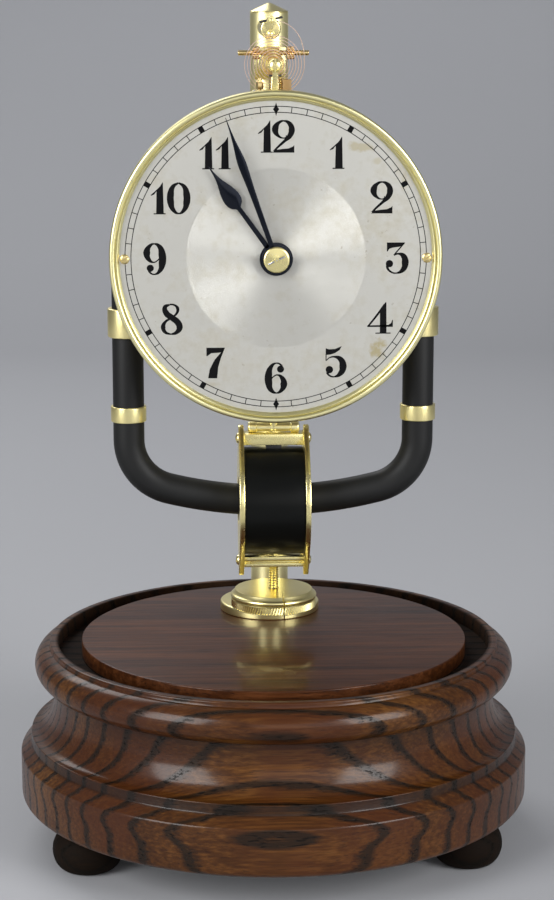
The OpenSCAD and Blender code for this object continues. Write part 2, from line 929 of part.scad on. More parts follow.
module coil_block() {
  bar_mid = block_z + knob_r;
  color(brass)
    difference() {
      union() {
        translate([-10, 0, bar_mid])
          rotate([0, 90, 0])
            rotate_extrude()
              polygon(concat(
                [[0, 0]],
                arc(knob_r - 0.8, 0.8, 0.8, 0.8, -90, 0, 4),
                [[knob_r, 3.2], [1.6, 3.8], [1.6, 16.2], [knob_r, 16.8]],
                arc(knob_r - 0.8, 19.2, 0.8, 0.8, 0, 90, 4),
                [[0, 20]]
              ));
        bar_z(block_z, block_z + block_h + 2.5, 0, 0, 3);
      }
      bar_z(block_z + 1, block_z + 20, 0, 0, rod_d / 2);
    }
}

module coil_top_bar() {
  color(brass)
    box(-half_w, half_w, -bar_half_y, bar_half_y, top_bar_z, block_z);
}

module coil_bottom_bar() {
  groove = 0.5;
  color(brass)
    difference() {
      box(-half_w, half_w, -bar_half_y, bar_half_y, bottom_bar_z, bottom_bar_z + bottom_bar_h);
      bar_z(bottom_bar_z - 1, bottom_bar_z + bottom_bar_h + 1, 0, 0, rating_d / 2);
      for (side = [-1, 1])
        bar_x(-half_w - 1, half_w + 1, side * bar_half_y, bottom_screw_z, groove);
    }
}

module ebonite_block() {
  color(black_steel)
    difference() {
      box(-3, 3, -3.2, 3.2, coil_z + coil_r - 1, top_bar_z);
      bar_x(-4, 4, 0, coil_z, coil_r, $fn = 128);
    }
}

module coil_cheek(side) {
  round_r = lug_w / 2;
  top = block_z + lug_past;
  low = bottom_bar_z - lug_past;
  x0 = side > 0 ? half_w : -cheek_x;
  x1 = side > 0 ? cheek_x : -half_w;
  color(brass)
    difference() {
      union() {
        bar_x(x0, x1, 0, coil_z, coil_r + cheek_rim, $fn = 128);
        box(x0, x1, -round_r, round_r, low + round_r, top - round_r);
        bar_x(x0, x1, 0, top - round_r, round_r);
        bar_x(x0, x1, 0, low + round_r, round_r);
      }
      bar_x(x0 - 1, x1 + 1, 0, coil_z, coil_bore_r + 0.5);
      for (z = [top_screw_z, bottom_screw_z])
        bar_x(x0 - 1, x1 + 1, 0, z, cage_shank_r);
    }
}

module coil_cheek_left() {
  coil_cheek(-1);
}

module coil_cheek_right() {
  coil_cheek(1);
}

module coil_winding() {
  edge = 0.4;
  color(black_steel)
    translate([-half_w, 0, coil_z])
      rotate([0, 90, 0])
        rotate_extrude($fn = 128)
          polygon([
            [coil_bore_r, 0], [coil_r - edge, 0], [coil_r, edge],
            [coil_r, coil_w - edge], [coil_r - edge, coil_w], [coil_bore_r, coil_w]
          ]);
}

module cage_screws() {
  head_r = 2.1;
  head_h = 1.2;
  color(brass)
    for (side = [-1, 1], z = [top_screw_z, bottom_screw_z])
      mirror([side < 0 ? 1 : 0, 0, 0]) {
        bar_x(half_w, cheek_x, 0, z, cage_shank_r);
        translate([cheek_x, 0, z])
          rotate([0, 90, 0])
            rotate_extrude()
              polygon(concat([[0, 0]], arc(0, 0, head_r, head_h, 0, 90, 5)));
      }
}

module rating_rod() {
  color(brass)
    bar_z(rating_end, bottom_bar_z + bottom_bar_h, 0, 0, rating_d / 2);
}

// Radial slit that lets a disc grip its thread, right of the front
module rim_slit(z0, z1) {
  rotate([0, 0, -78])
    box(5, bob_r + 1, -0.3, 0.3, z0, z1);
}

module bob() {
  chamfer = 1.5;
  bead = 1;
  color(brass)
    difference() {
      rotate_extrude($fn = 128)
        polygon(concat(
          [[rating_d / 2 + run, bob_bottom], [bob_r - bead, bob_bottom]],
          arc(bob_r - bead, bob_bottom + bead, bead, bead, -80, 60, 8),
          [[bob_r - chamfer, bob_top - 0.2], [bob_r - chamfer - 0.3, bob_top], [rating_d / 2 + run, bob_top]]
        ));
      rim_slit(bob_bottom - 1, bob_top + 1);
    }
}

module rating_nut() {
  rim = bob_r - 0.7;
  chamfer = 0.5;
  color(brass)
    difference() {
      rotate_extrude($fn = 128)
        polygon([
          [rating_d / 2 + run, nut_bottom], [rim - chamfer, nut_bottom], [rim, nut_bottom + chamfer],
          [rim, nut_top - chamfer], [rim - chamfer, nut_top], [rating_d / 2 + run, nut_top]
        ]);
      rim_slit(nut_bottom - 1, nut_top + 1);
    }
}

// Involute gear: half the angle that a tooth takes up at a radius
pressure = 30;
addendum = 0.8;
dedendum = 1;
thinning = 0.16;
function involute(a) = tan(a) * 180 / PI - a;
function tooth_half(m, teeth, r) =
  let (base_r = m * teeth / 2 * cos(pressure))
  90 / teeth * (1 - thinning) + involute(pressure) - (r > base_r ? involute(acos(base_r / r)) : 0);
function tip_r(m, teeth) = m * (teeth / 2 + addendum);
function root_r(m, teeth) = m * (teeth / 2 - dedendum);
function flank(m, teeth) =
  let (root = root_r(m, teeth), start = max(root, m * teeth / 2 * cos(pressure)), tip = tip_r(m, teeth))
  concat(start > root ? [root] : [], [for (i = [0:3]) start + (tip - start) * i / 3]);
function polar(r, a) = [r * cos(a), r * sin(a)];

module gear_outline(m, teeth, turn) {
  rise = flank(m, teeth);
  polygon([
    for (i = [0:teeth - 1])
      let (mid = turn + 360 * i / teeth)
      each concat(
        [for (r = rise) polar(r, mid - tooth_half(m, teeth, r))],
        [for (r = reversed(rise)) polar(r, mid + tooth_half(m, teeth, r))]
      )
  ]);
}

// Four crossings inside a wheel's rim
module crossings(rim_r, hub_r, spoke_w) {
  difference() {
    circle(rim_r);
    circle(hub_r);
    for (a = [45, 135])
      rotate(a)
        square([2 * rim_r + 2, spoke_w], center = true);
  }
}

module centre_arbor() {
  wheel_front = front_in + 1.8;
  root = root_r(train_m, centre_teeth);
  color(brass)
    difference() {
      union() {
        bar_y(back_in - 0.2, back_y, 0, dial_z, count_arbor_r);
        bar_y(collet_back, back_in - 0.2, 0, dial_z, arbor_front_r);
        bar_y(arbor_tip, collet_back, 0, dial_z, arbor_tip_r);
        plate(wheel_front, wheel_front + gear_t)
          translate([0, dial_z])
            difference() {
              gear_outline(train_m, centre_teeth, 0);
              crossings(root - 1.6, 4, 2);
            }
      }
      collet_pin();
    }
}

// The taper pin that holds the hands on
module collet_pin() {
  translate([0, pin_y, dial_z])
    rotate([0, -25, 0])
      bar_x(-3.4, 3.4, 0, 0, 0.35);
}

module cannon_pinion() {
  color(steel)
    plate_bored(0, dial_z, arbor_front_r) {
      bar_y(collet_back, motion_back, 0, dial_z, cannon_r);
      plate(motion_back - gear_t - 0.2, motion_back)
        translate([0, dial_z])
          gear_outline(motion_m, cannon_teeth, motion_a);
    }
}

// Children with a bore along y through all of them
module plate_bored(x, z, r) {
  difference() {
    union()
      children();
    bar_y(-dial_y - 20, 10, x, z, r);
  }
}

module minute_wheel() {
  turn = motion_a + 180 + 180 / minute_teeth;
  leaf_turn = motion_a + 180 + 180 / minute_leaves;
  color(brass)
    plate_bored(motion_x, motion_z, motion_stud_r + run) {
      plate(motion_back - gear_t, motion_back)
        translate([motion_x, motion_z])
          gear_outline(motion_m, minute_teeth, turn);
      plate(motion_front, motion_back - gear_t + 0.1)
        translate([motion_x, motion_z])
          gear_outline(hour_m, minute_leaves, leaf_turn);
    }
}

module hour_wheel() {
  color(brass)
    plate_bored(0, dial_z, pipe_in_r) {
      bar_y(hour_back - hand_t, hour_wheel_back, 0, dial_z, pipe_r);
      plate(motion_front, hour_wheel_back)
        translate([0, dial_z])
          gear_outline(hour_m, hour_teeth, motion_a);
    }
}

module intermediate_wheel() {
  wheel_back = back_in - 2;
  leaf_front = front_in + 1.2;
  color(brass) {
    bar_y(front_y, back_y, 0, inter_z, train_r);
    plate(wheel_back - gear_t, wheel_back)
      translate([0, inter_z])
        difference() {
          gear_outline(train_m, inter_teeth, 90);
          crossings(root_r(train_m, inter_teeth) - 1.4, 3, 1.6);
        }
    plate(leaf_front, wheel_back - gear_t + 0.1)
      translate([0, inter_z])
        gear_outline(train_m, leaves, 270 + 180 / leaves);
  }
}

module count_wheel() {
  notch = 0.7;
  root = count_r - notch;
  leaf_back = back_in - 1;
  color(brass) {
    bar_y(leaf_back - 3.6, ratchet_back, 0, count_z, count_arbor_r);
    bar_y(front_y, leaf_back - 3.6, 0, count_z, train_r);
    plate(leaf_back - 3.6, leaf_back)
      translate([0, count_z])
        gear_outline(train_m, leaves, 270 + 180 / leaves);
    plate(ratchet_front, ratchet_back)
      translate([0, count_z])
        difference() {
          polygon([
            for (i = [0:count_teeth - 1])
              let (mid = 90 + 360 * i / count_teeth)
              each [polar(root, mid - 0.6), polar(count_r, mid)]
          ]);
          crossings(root - 1.5, 3, 1.6);
        }
  }
}

module drive_pawl() {
  tip_z = count_z + count_r + tooth_clear;
  eye_r = 1.6;
  color(steel)
    difference() {
      union() {
        bar_y(ratchet_front, pawl_back, pawl_x, pawl_z, eye_r);
        plate(ratchet_front, pawl_back)
          polygon([
            [pawl_x - 0.9, pawl_z - 1.2], [0, tip_z], [0.6, tip_z + 0.6],
            [1, tip_z + 1.6], [pawl_x + 1.2, pawl_z + 0.9]
          ]);
      }
      bar_y(ratchet_front - 1, pawl_back + 1, pawl_x, pawl_z, pawl_pin_r + run);
    }
}

module detent_click() {
  tip_a = 45;
  tip = [0, count_z] + polar(count_r + tooth_clear, tip_a);
  eye_r = 1.9;
  color(steel)
    difference() {
      union() {
        bar_y(ratchet_front, pawl_back, click_x, click_z, eye_r);
        plate(ratchet_front, pawl_back)
          polygon([
            [click_x - 1, click_z - 1.5], tip, tip + [0.3, 1.3], [click_x - 0.6, click_z + 1.6]
          ]);
      }
      bar_y(ratchet_front - 1, pawl_back + 1, click_x, click_z, click_stud_r + run);
    }
}

// A hand lies in the plate outline with its tip up, and is turned clockwise
module hand(back, turn, ring_r, bore_r) {
  plate_bored(0, dial_z, bore_r) {
    bar_y(back - hand_t, back, 0, dial_z, ring_r);
    plate(back - hand_t, back)
      translate([0, dial_z])
        rotate(-turn)
          children();
  }
}

// Half the width of the minute hand at a distance from the centre
function minute_half(d) = d < minute_len * 0.63
  ? 0.5 + 0.5 * (1 - cos(180 * d / (minute_len * 0.63)))
  : 1.5 * pow((minute_len - d) / (minute_len * 0.37), 1.15);

function minute_span(d) = d < minute_len * 0.63 ? minute_half(d) : max(0.08, minute_half(d));

module minute_hand() {
  ring_r = 5.6;
  steps = 16;
  stations = [for (i = [0:steps]) ring_r - 1 + (minute_len - ring_r + 1) * i / steps];
  color(black_steel)
    hand(minute_back, minute_turn, ring_r, cannon_r)
      polygon(concat(
        [for (d = stations) [-minute_span(d), d]],
        [for (d = reversed(stations)) [minute_span(d), d]]
      ));
}

module hour_hand() {
  ring_r = 6.2;
  bulb_r = 3.5;
  bulb_d = 27.6;
  stem = 0.95;
  neck_d = bulb_d + bulb_r * 0.8;
  color(black_steel)
    hand(hour_back, hour_turn, ring_r, pipe_r) {
      translate([-stem, ring_r - 1])
        square([2 * stem, bulb_d - ring_r]);
      translate([0, bulb_d])
        circle(bulb_r);
      polygon([
        for (side = [-1, 1], i = [0:8])
          let (u = side < 0 ? i / 8 : 1 - i / 8)
          [side * (0.08 + 2 * pow(1 - u, 2.2)), neck_d + (hour_len - neck_d) * u]
      ]);
    }
}

module hand_collet() {
  disc_r = 4.85;
  color(brass)
    turned_y(0, dial_z)
      polygon(concat(
        [[arbor_tip_r, -collet_back], [disc_r, -collet_back]],
        arc(disc_r - 0.8, -collet_back + 0.3, 0.8, 0.6, 0, 90, 4),
        [[arbor_tip_r, -collet_back + collet_h]]
      ));
  color(black_steel)
    collet_pin();
}

base_body();
platform_disc();
bun_feet();
column_flange();
column_tube();
column_stud();
column_nut();
dry_cell();
magnet_bar();
magnet_yoke();
magnet_clamp_left();
magnet_clamp_right();
clamp_screws();
magnet_collar_left();
magnet_collar_right();
movement_bracket();
back_plate();
front_plate();
plate_pillars();
plate_screws();
dial_feet();
dial_plate();
bezel();
dial_screws();
motion_stud();
pivot_block();
front_cock();
pivot_screw();
spring_stud();
stud_pin();
hairspring();
terminals();
pendulum_arbor();
pendulum_rod();
cross_arm();
coil_block();
coil_top_bar();
coil_bottom_bar();
coil_cheek_left();
coil_cheek_right();
coil_winding();
ebonite_block();
cage_screws();
rating_rod();
bob();
rating_nut();
arm_nut_left();
arm_nut_right();
centre_arbor();
cannon_pinion();
minute_hand();
hand_collet();
hour_wheel();
hour_hand();
minute_wheel();
intermediate_wheel();
count_wheel();
drive_pawl();
detent_click();
column_cap();
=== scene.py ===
import math

import bmesh
import bpy
from mathutils import Matrix, Vector


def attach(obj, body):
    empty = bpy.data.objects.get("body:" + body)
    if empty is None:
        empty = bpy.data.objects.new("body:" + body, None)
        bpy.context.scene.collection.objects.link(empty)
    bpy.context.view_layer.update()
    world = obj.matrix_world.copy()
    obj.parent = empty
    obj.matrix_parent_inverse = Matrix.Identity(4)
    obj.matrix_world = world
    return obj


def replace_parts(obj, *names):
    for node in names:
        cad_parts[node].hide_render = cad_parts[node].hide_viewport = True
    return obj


mm = 0.001
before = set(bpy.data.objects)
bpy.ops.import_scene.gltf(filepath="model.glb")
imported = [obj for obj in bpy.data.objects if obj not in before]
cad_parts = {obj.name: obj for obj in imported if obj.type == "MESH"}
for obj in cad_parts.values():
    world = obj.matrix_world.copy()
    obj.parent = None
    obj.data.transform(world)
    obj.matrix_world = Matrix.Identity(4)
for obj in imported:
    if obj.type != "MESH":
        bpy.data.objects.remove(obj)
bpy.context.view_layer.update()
print("frame loaded:", len(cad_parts), "nodes")

# Heights and places shared by several pieces, in millimetres
clock = {
    "grooveZ": 73.7,
    "platformZ": 79.7,
    "columnY": 40.0,
    "columnTop": 320.5,
    "pivotZ": 302.0,
    "coilZ": 134.0,
    "dialZ": 231.5,
    "dialY": -24.0,
    "swingR": 168.0,  # from the pivot to the middle of the coil
    "legX": 56.0,
}


class Wave:  # a shader socket that takes part in sums
    def __init__(self, paint, socket):
        self.paint = paint
        self.socket = socket

    def __add__(self, other):
        return self.paint.sum("ADD", self, other)

    def __sub__(self, other):
        return self.paint.sum("SUBTRACT", self, other)

    def __mul__(self, other):
        return self.paint.sum("MULTIPLY", self, other)

    def __truediv__(self, other):
        return self.paint.sum("DIVIDE", self, other)

    def __rsub__(self, other):
        return self.paint.sum("SUBTRACT", other, self)

    def __rtruediv__(self, other):
        return self.paint.sum("DIVIDE", other, self)

    __radd__ = __add__
    __rmul__ = __mul__


class Paint:  # one material, with the nodes that feed its shader
    def __init__(self, name, **fixed):
        self.material = bpy.data.materials.new(name)
        self.material.use_nodes = True
        self.nodes = self.material.node_tree.nodes
        self.links = self.material.node_tree.links
        self.shader = self.nodes["Principled BSDF"]
        for key, value in fixed.items():
            self.shader.inputs[key.replace("_", " ")].default_value = value

    def node(self, kind, settings=None, out=0, **values):
        # values are named after a socket, or i0, i1 and so on for its number
        made = self.nodes.new("ShaderNode" + kind)
        for key, value in (settings or {}).items():
            if key == "stops":
                self.setStops(made.color_ramp, value)
            else:
                setattr(made, key, value)
        for key, value in values.items():
            self.feed(made.inputs[int(key[1:]) if key[1:].isdigit() else key.replace("_", " ")], value)
        return Wave(self, made.outputs[out])

    def setStops(self, ramp, stops):
        while len(ramp.elements) < len(stops):
            ramp.elements.new(1.0)
        for element, (place, colour) in zip(ramp.elements, stops):
            element.position = place
            element.color = (*colour, 1.0)

    def feed(self, entry, value):
        if isinstance(value, Wave):
            self.links.new(value.socket, entry)
        elif isinstance(value, tuple) and len(value) == 3 and entry.type == "RGBA":
            entry.default_value = (*value, 1.0)
        else:
            entry.default_value = value

    def sum(self, operation, a, b=0.0):
        return self.node("Math", {"operation": operation}, i0=a, i1=b)

    def vector(self, operation, a, b=(0.0, 0.0, 0.0)):
        return self.node("VectorMath", {"operation": operation}, i0=a, i1=b)

    def scaled(self, a, amount):
        return self.node("VectorMath", {"operation": "SCALE"}, i0=a, Scale=amount)

    def place(self, scale=(1.0, 1.0, 1.0), move=(0.0, 0.0, 0.0)):
        return self.node("Mapping", i0=self.node("TexCoord", out=3), Location=move, Scale=scale)

    def apart(self, at):
        split = self.node("SeparateXYZ", i0=at).socket.node
        return [Wave(self, split.outputs[i]) for i in range(3)]

    def joined(self, x, y, z):
        return self.node("CombineXYZ", i0=x, i1=y, i2=z)

    def noise(self, at, scale, detail=3.0, rough=0.5, warp=0.0):
        return self.node("TexNoise", Vector=at, Scale=scale, Detail=detail, Roughness=rough, Distortion=warp)

    def ramp(self, value, stops):
        return self.node("ValToRGB", {"stops": stops}, i0=value)

    def level(self, value, low, high):  # 0 at low and 1 at high
        return self.node("MapRange", {"clamp": True}, i0=value, i1=low, i2=high)

    def mix(self, part, a, b):
        return self.node("Mix", {"data_type": "RGBA"}, out=2, i0=part, i6=a, i7=b)

    def bump(self, height, depth, strength):
        return self.node("Bump", Height=height, Strength=strength, Distance=depth)

    def set(self, **waves):
        for key, value in waves.items():
            self.feed(self.shader.inputs[key.replace("_", " ")], value)
        return self.material


# Finishes
oak = {
    "tones": [(0.34, (0.027, 0.0084, 0.0018)), (0.5, (0.061, 0.0208, 0.0041)), (0.66, (0.126, 0.0500, 0.0104))],
    "red": (0.052, 0.0134, 0.0043),
    "lateWood": (0.0085, 0.0052, 0.0026),
    "pore": (0.0042, 0.0026, 0.0016),
    # painted shade: the dark colour laid in the groove, the step and the upper cove; in the groove it is also a
    # real dark stain
    "dirtAndShade": (0.003, 0.0022, 0.0016),
    "footStain": (0.005, 0.0036, 0.0022),
    # heights and radii between which painted shade sets in, in metres
    "step": [(0.0390, 0.0398), (0.0436, 0.0430), (0.0954, 0.0957)],
    "hollow": [(0.054, 0.062), (0.066, 0.063)],
}


def oakFinish(name, heartY, heartZ, ringStep, grooveR, dark, gloss):
    paint = Paint(name, Coat_Roughness=0.16, IOR=1.45, Specular_IOR_Level=0.12)
    at = paint.place()
    x, y, z = paint.apart(at)
    sway = paint.noise(paint.place(scale=(5, 14, 14)), 1.0, 2.0)
    wobble = paint.noise(paint.place(scale=(26, 60, 60)), 1.0, 3.0)
    ragged = paint.noise(paint.place(scale=(95, 620, 620)), 1.0, 3.0, 0.65)
    closing = paint.level(paint.sum("ABSOLUTE", z - heartZ), 0.001, 0.0055) * 0.0021
    across = (y - heartY) * (y - heartY) + (z - heartZ) * (z - heartZ) + x * x * 0.012
    fromHeart = paint.sum("SQRT", across) + closing
    year = paint.sum("FRACT", (fromHeart + sway * 0.010 + wobble * 0.0022) / ringStep)
    late = paint.level(year + (ragged - 0.5) * 0.4, 0.64, 0.79) * paint.level(year, 1.0, 0.91)
    vessels = paint.noise(paint.place(scale=(150, 1250, 1250)), 1.0, 2.0, 0.6)
    pores = paint.level(vessels, 0.53, 0.62) * (late * 0.85 + 0.08)
    dashes = paint.level(paint.noise(paint.place(scale=(85, 1500, 1500)), 1.0, 1.0), 0.62, 0.7) * 0.35
    fibre = paint.noise(paint.place(scale=(24, 850, 850)), 1.0, 3.0, 0.6)
    cloud = paint.noise(paint.place(scale=(14, 40, 40)), 1.0, 3.0)
    tone = paint.ramp(fibre * 0.55 + cloud * 0.45, oak["tones"])
    tone = paint.mix(paint.level(paint.noise(at, 22.0, 2.0), 0.45, 0.62) * 0.6, tone, oak["red"])
    banded = paint.mix(late * 0.84, tone, oak["lateWood"])
    shade = paint.mix(paint.sum("MAXIMUM", pores, dashes), banded, oak["pore"])
    radius = paint.sum("SQRT", x * x + y * y)
    # painted shade: the groove (partly a real dark stain), the riser under the ridge and the upper cove under the
    # torus are darkened where shade falls, using the masks below
    inGroove = paint.level(radius, grooveR + 0.0012, grooveR)
    above, below, outside = oak["step"]
    inStep = paint.level(z, *above) * paint.level(z, *below) * paint.level(radius, *outside)
    above, below = oak["hollow"]
    inHollow = paint.level(z, *above) * paint.level(z, *below) * 0.4
    shade = paint.mix(paint.sum("MAXIMUM", inGroove * 0.8, inStep * 0.62 + inHollow), shade, oak["dirtAndShade"])
    shade = paint.mix(dark, shade, oak["footStain"])
    return paint.set(
        Base_Color=shade,
        Roughness=0.38 + pores * 0.25 + inGroove * 0.4,
        Coat_Weight=(gloss - pores * 0.3) * (1.0 - inGroove),
        Normal=paint.bump(pores * -0.9 - dashes * 0.5 + fibre * 0.15, 0.0003, 0.5),
    )


def platformFinish(name):
    paint = Paint(name, Coat_Roughness=0.11, IOR=1.45, Specular_IOR_Level=0.1)
    fibre = paint.noise(paint.place(scale=(14, 420, 420)), 1.0, 5.0, 0.7)
    figure = paint.noise(paint.place(scale=(7, 70, 70)), 1.0, 3.0, 0.5, 0.4)
    vessels = paint.noise(paint.place(scale=(65, 1400, 1400)), 1.0, 2.0)
    pores = paint.level(vessels, 0.57, 0.70)
    tones = [(0.36, (0.018, 0.0052, 0.0016)), (0.5, (0.052, 0.0158, 0.0044)), (0.66, (0.115, 0.0390, 0.0130))]
    shade = paint.mix(pores * 0.7, paint.ramp(fibre * 0.6 + figure * 0.4, tones), (0.008, 0.0034, 0.0022))
    return paint.set(
        Base_Color=shade,
        Roughness=0.33 + paint.noise(paint.place(), 30.0, 2.0) * 0.08,
        Coat_Weight=0.24 - pores * 0.12,
        Normal=paint.bump(pores * -0.6 + fibre * 0.2, 0.00012, 0.35),
    )


def metalFinish(name, colour, shadow, rough, grainScale=None, grain=0.0, coat=0.0):
    paint = Paint(name, Metallic=1.0, Coat_Weight=coat, Coat_Roughness=0.12)
    at = paint.place()
    # in metal this mark is random dirt only, with no painted shade
    dirtAndShade = paint.level(paint.noise(at, 60.0, 4.0, 0.6), 0.45, 0.75) * 0.35
    specks = paint.noise(at, 700.0, 2.0)
    waves = {"Base_Color": paint.mix(dirtAndShade, colour, shadow), "Roughness": rough + dirtAndShade * 0.12 + specks * 0.03}
    if grain:
        waves["Normal"] = paint.bump(paint.noise(paint.place(scale=grainScale), 1.0, 2.0), 0.00002, grain)
    return paint.set(**waves)


def plainFinish(name, colour, rough, speckle, coat=0.0, depth=0.0, gloss=0.5):
    paint = Paint(name, Coat_Roughness=0.06, Specular_IOR_Level=gloss)
    at = paint.place()
    cloud = paint.noise(at, 45.0, 4.0, 0.6)
    lighter = tuple(c * 1.7 + 0.006 for c in colour)
    waves = {"Base_Color": paint.mix(cloud * speckle, colour, lighter), "Roughness": rough + (cloud - 0.5) * 0.12}
    if coat:
        waves["Coat_Weight"] = coat - cloud * 0.1
    if depth:
        waves["Normal"] = paint.bump(paint.noise(at, 900.0, 3.0), depth, 0.6)
    return paint.set(**waves)


finish = {
    "oak": oakFinish("stained oak", -0.1725, 0.032, 0.0080, 0.0849, 0.0, 0.35),
    "feet": oakFinish("stained oak feet", -0.140, 0.010, 0.0060, 1.0, 0.7, 0.2),
    "platform": platformFinish("platform wood"),
    "brass": metalFinish("polished brass", (0.95, 0.84, 0.40), (0.72, 0.56, 0.22), 0.25),
    "column": metalFinish("column brass", (0.97, 0.89, 0.48), (0.82, 0.70, 0.31), 0.36),
    "turned": metalFinish("turned brass", (0.94, 0.83, 0.40), (0.72, 0.57, 0.21), 0.27, (20, 20, 2500), 0.5),
    "bezel": metalFinish("bezel brass", (0.84, 0.78, 0.42), (0.62, 0.54, 0.20), 0.31),
    "rawBrass": metalFinish("plate brass", (0.83, 0.67, 0.31), (0.55, 0.40, 0.16), 0.28, (60, 2000, 2000), 0.6),
    "redBrass": metalFinish("warm brass", (0.88, 0.68, 0.32), (0.60, 0.38, 0.13), 0.25),
    "bronze": metalFinish("phosphor bronze", (0.90, 0.66, 0.54), (0.66, 0.40, 0.28), 0.25),
    "steel": metalFinish("bright steel", (0.60, 0.61, 0.63), (0.34, 0.32, 0.30), 0.22),
    "darkSteel": metalFinish("dark steel", (0.08, 0.08, 0.088), (0.035, 0.035, 0.04), 0.32),
    "blued": metalFinish("blued steel", (0.010, 0.013, 0.022), (0.006, 0.007, 0.010), 0.24, coat=0.35),
    "enamel": plainFinish("magnet enamel", (0.0062, 0.0064, 0.0064), 0.50, 0.35, depth=0.00003, gloss=0.25),
    "winding": plainFinish("black winding", (0.0028, 0.0031, 0.0028), 0.30, 0.2, coat=0.05, gloss=0.12),
    "ebonite": plainFinish("ebonite", (0.007, 0.0068, 0.0064), 0.26, 0.3),
    "print": plainFinish("black print", (0.0045, 0.0045, 0.005), 0.7, 0.3, gloss=0.04),
    "fibre": plainFinish("fibre", (0.33, 0.20, 0.07), 0.5, 0.4, depth=0.00004),
    "card": plainFinish("cell card", (0.30, 0.07, 0.035), 0.6, 0.3, depth=0.00003),
}
print("finishes made:", len(finish))


# Making pieces
sides = {"left": -1, "right": 1}
quarter = math.pi / 2
tilts = {"X": Matrix.Rotation(quarter, 4, "Y"), "Y": Matrix.Rotation(quarter, 4, "X"), "Z": Matrix.Identity(4)}


def moved(spot):
    return Matrix.Translation(Vector(spot) * mm)


def rolled(angle, axis):
    return Matrix.Rotation(angle, 4, axis)


def shift(bm, matrix):
    bmesh.ops.transform(bm, verts=bm.verts, matrix=matrix)


def vertsOf(made):
    return [g for g in made if isinstance(g, bmesh.types.BMVert)]


def edgesOf(made):
    return [g for g in made if isinstance(g, bmesh.types.BMEdge)]


def placed(name, data):
    made = bpy.data.objects.new(name, data)
    bpy.context.scene.collection.objects.link(made)
    return made


def finalMesh(made):
    return bpy.data.meshes.new_from_object(made.evaluated_get(bpy.context.evaluated_depsgraph_get()))


def arcPoints(cx, cy, rx, ry, a0, a1, n):
    turn = [math.radians(a0 + (a1 - a0) * i / n) for i in range(n + 1)]
    return [(cx + rx * math.cos(a), cy + ry * math.sin(a)) for a in turn]


def keep(bm, name, body, surface, sharp=35.0, soften=0.0, segments=2):
    # closes a piece, breaks the edges sharper than the angle and sets it on its body
    bmesh.ops.remove_doubles(bm, verts=bm.verts, dist=1e-7)
    bmesh.ops.recalc_face_normals(bm, faces=bm.faces)
    if soften:
        edges = [e for e in bm.edges if len(e.link_faces) == 2 and e.calc_face_angle(0.0) > math.radians(sharp)]
        bmesh.ops.bevel(bm, geom=edges, offset=soften * mm, offset_type="OFFSET", segments=segments,
                        profile=0.5, affect="EDGES", clamp_overlap=True, material=-1)
        bmesh.ops.recalc_face_normals(bm, faces=bm.faces)
    mesh = bpy.data.meshes.new(name)
    bm.to_mesh(mesh)
    bm.free()
    mesh.materials.append(finish[surface])
    mesh.polygons.foreach_set("use_smooth", [True] * len(mesh.polygons))
    mesh.set_sharp_from_angle(angle=math.radians(sharp))
    made = placed(name, mesh)
    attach(made, body)
    return made


def joinTo(bm, part):
    spare = bpy.data.meshes.new("spare")
    part.to_mesh(spare)
    part.free()
    bm.from_mesh(spare)
    bpy.data.meshes.remove(spare)


def stand(bm, part, at, axis):
    # joins a part that was made upright, laid along the axis that is named
    shift(part, moved(at) @ tilts[axis])
    joinTo(bm, part)


def turned(bm, profile, steps=96, at=(0.0, 0.0, 0.0), axis="Z"):
    # profile holds (radius, height), in millimetres
    part = bmesh.new()
    points = [part.verts.new((r * mm, 0.0, h * mm)) for r, h in profile]
    edges = [part.edges.new(pair) for pair in zip(points, points[1:])]
    bmesh.ops.spin(part, geom=points + edges, cent=(0, 0, 0), axis=(0, 0, 1), angle=2 * math.pi,
                   steps=steps, use_merge=True, use_duplicate=False)
    bmesh.ops.remove_doubles(part, verts=part.verts, dist=1e-7)
    bmesh.ops.recalc_face_normals(part, faces=part.faces)
    stand(bm, part, at, axis)


def block(bm, x0, x1, y0, y1, z0, z1):
    part = bmesh.new()
    bmesh.ops.create_cube(part, size=1.0)
    size = Matrix.Diagonal(((x1 - x0) * mm, (y1 - y0) * mm, (z1 - z0) * mm, 1.0))
    shift(part, moved(((x0 + x1) / 2, (y0 + y1) / 2, (z0 + z1) / 2)) @ size)
    joinTo(bm, part)


def bar(bm, start, end, radius, sides=32):
    part = bmesh.new()
    a, b = Vector(start) * mm, Vector(end) * mm
    bmesh.ops.create_cone(part, cap_ends=True, segments=sides, radius1=radius * mm, radius2=radius * mm,
                          depth=(b - a).length)
    spin = (b - a).to_track_quat("Z", "Y").to_matrix().to_4x4()
    shift(part, Matrix.Translation((a + b) / 2) @ spin)
    joinTo(bm, part)


def plate(bm, corners, way):
    # a flat face through the corners, drawn out to a plate
    face = bm.faces.new([bm.verts.new(Vector(corner) * mm) for corner in corners])
    made = bmesh.ops.extrude_face_region(bm, geom=[face])["geom"]
    bmesh.ops.translate(bm, verts=vertsOf(made), vec=Vector(way) * mm)


def fromCurve(data):
    holder = placed(data.name, data)
    mesh = finalMesh(holder)
    bm = bmesh.new()
    bm.from_mesh(mesh)
    bpy.data.objects.remove(holder)
    bpy.data.meshes.remove(mesh)
    return bm


def rimSlit(angle, inner, outer, wide, low, high, y=0.0):
    # a thin cutter that reaches into a disc's rim
    slit = bmesh.new()
    block(slit, inner, outer, -wide / 2, wide / 2, low, high)
    shift(slit, moved((0, y, 0)) @ rolled(math.radians(angle), "Z"))
    return slit


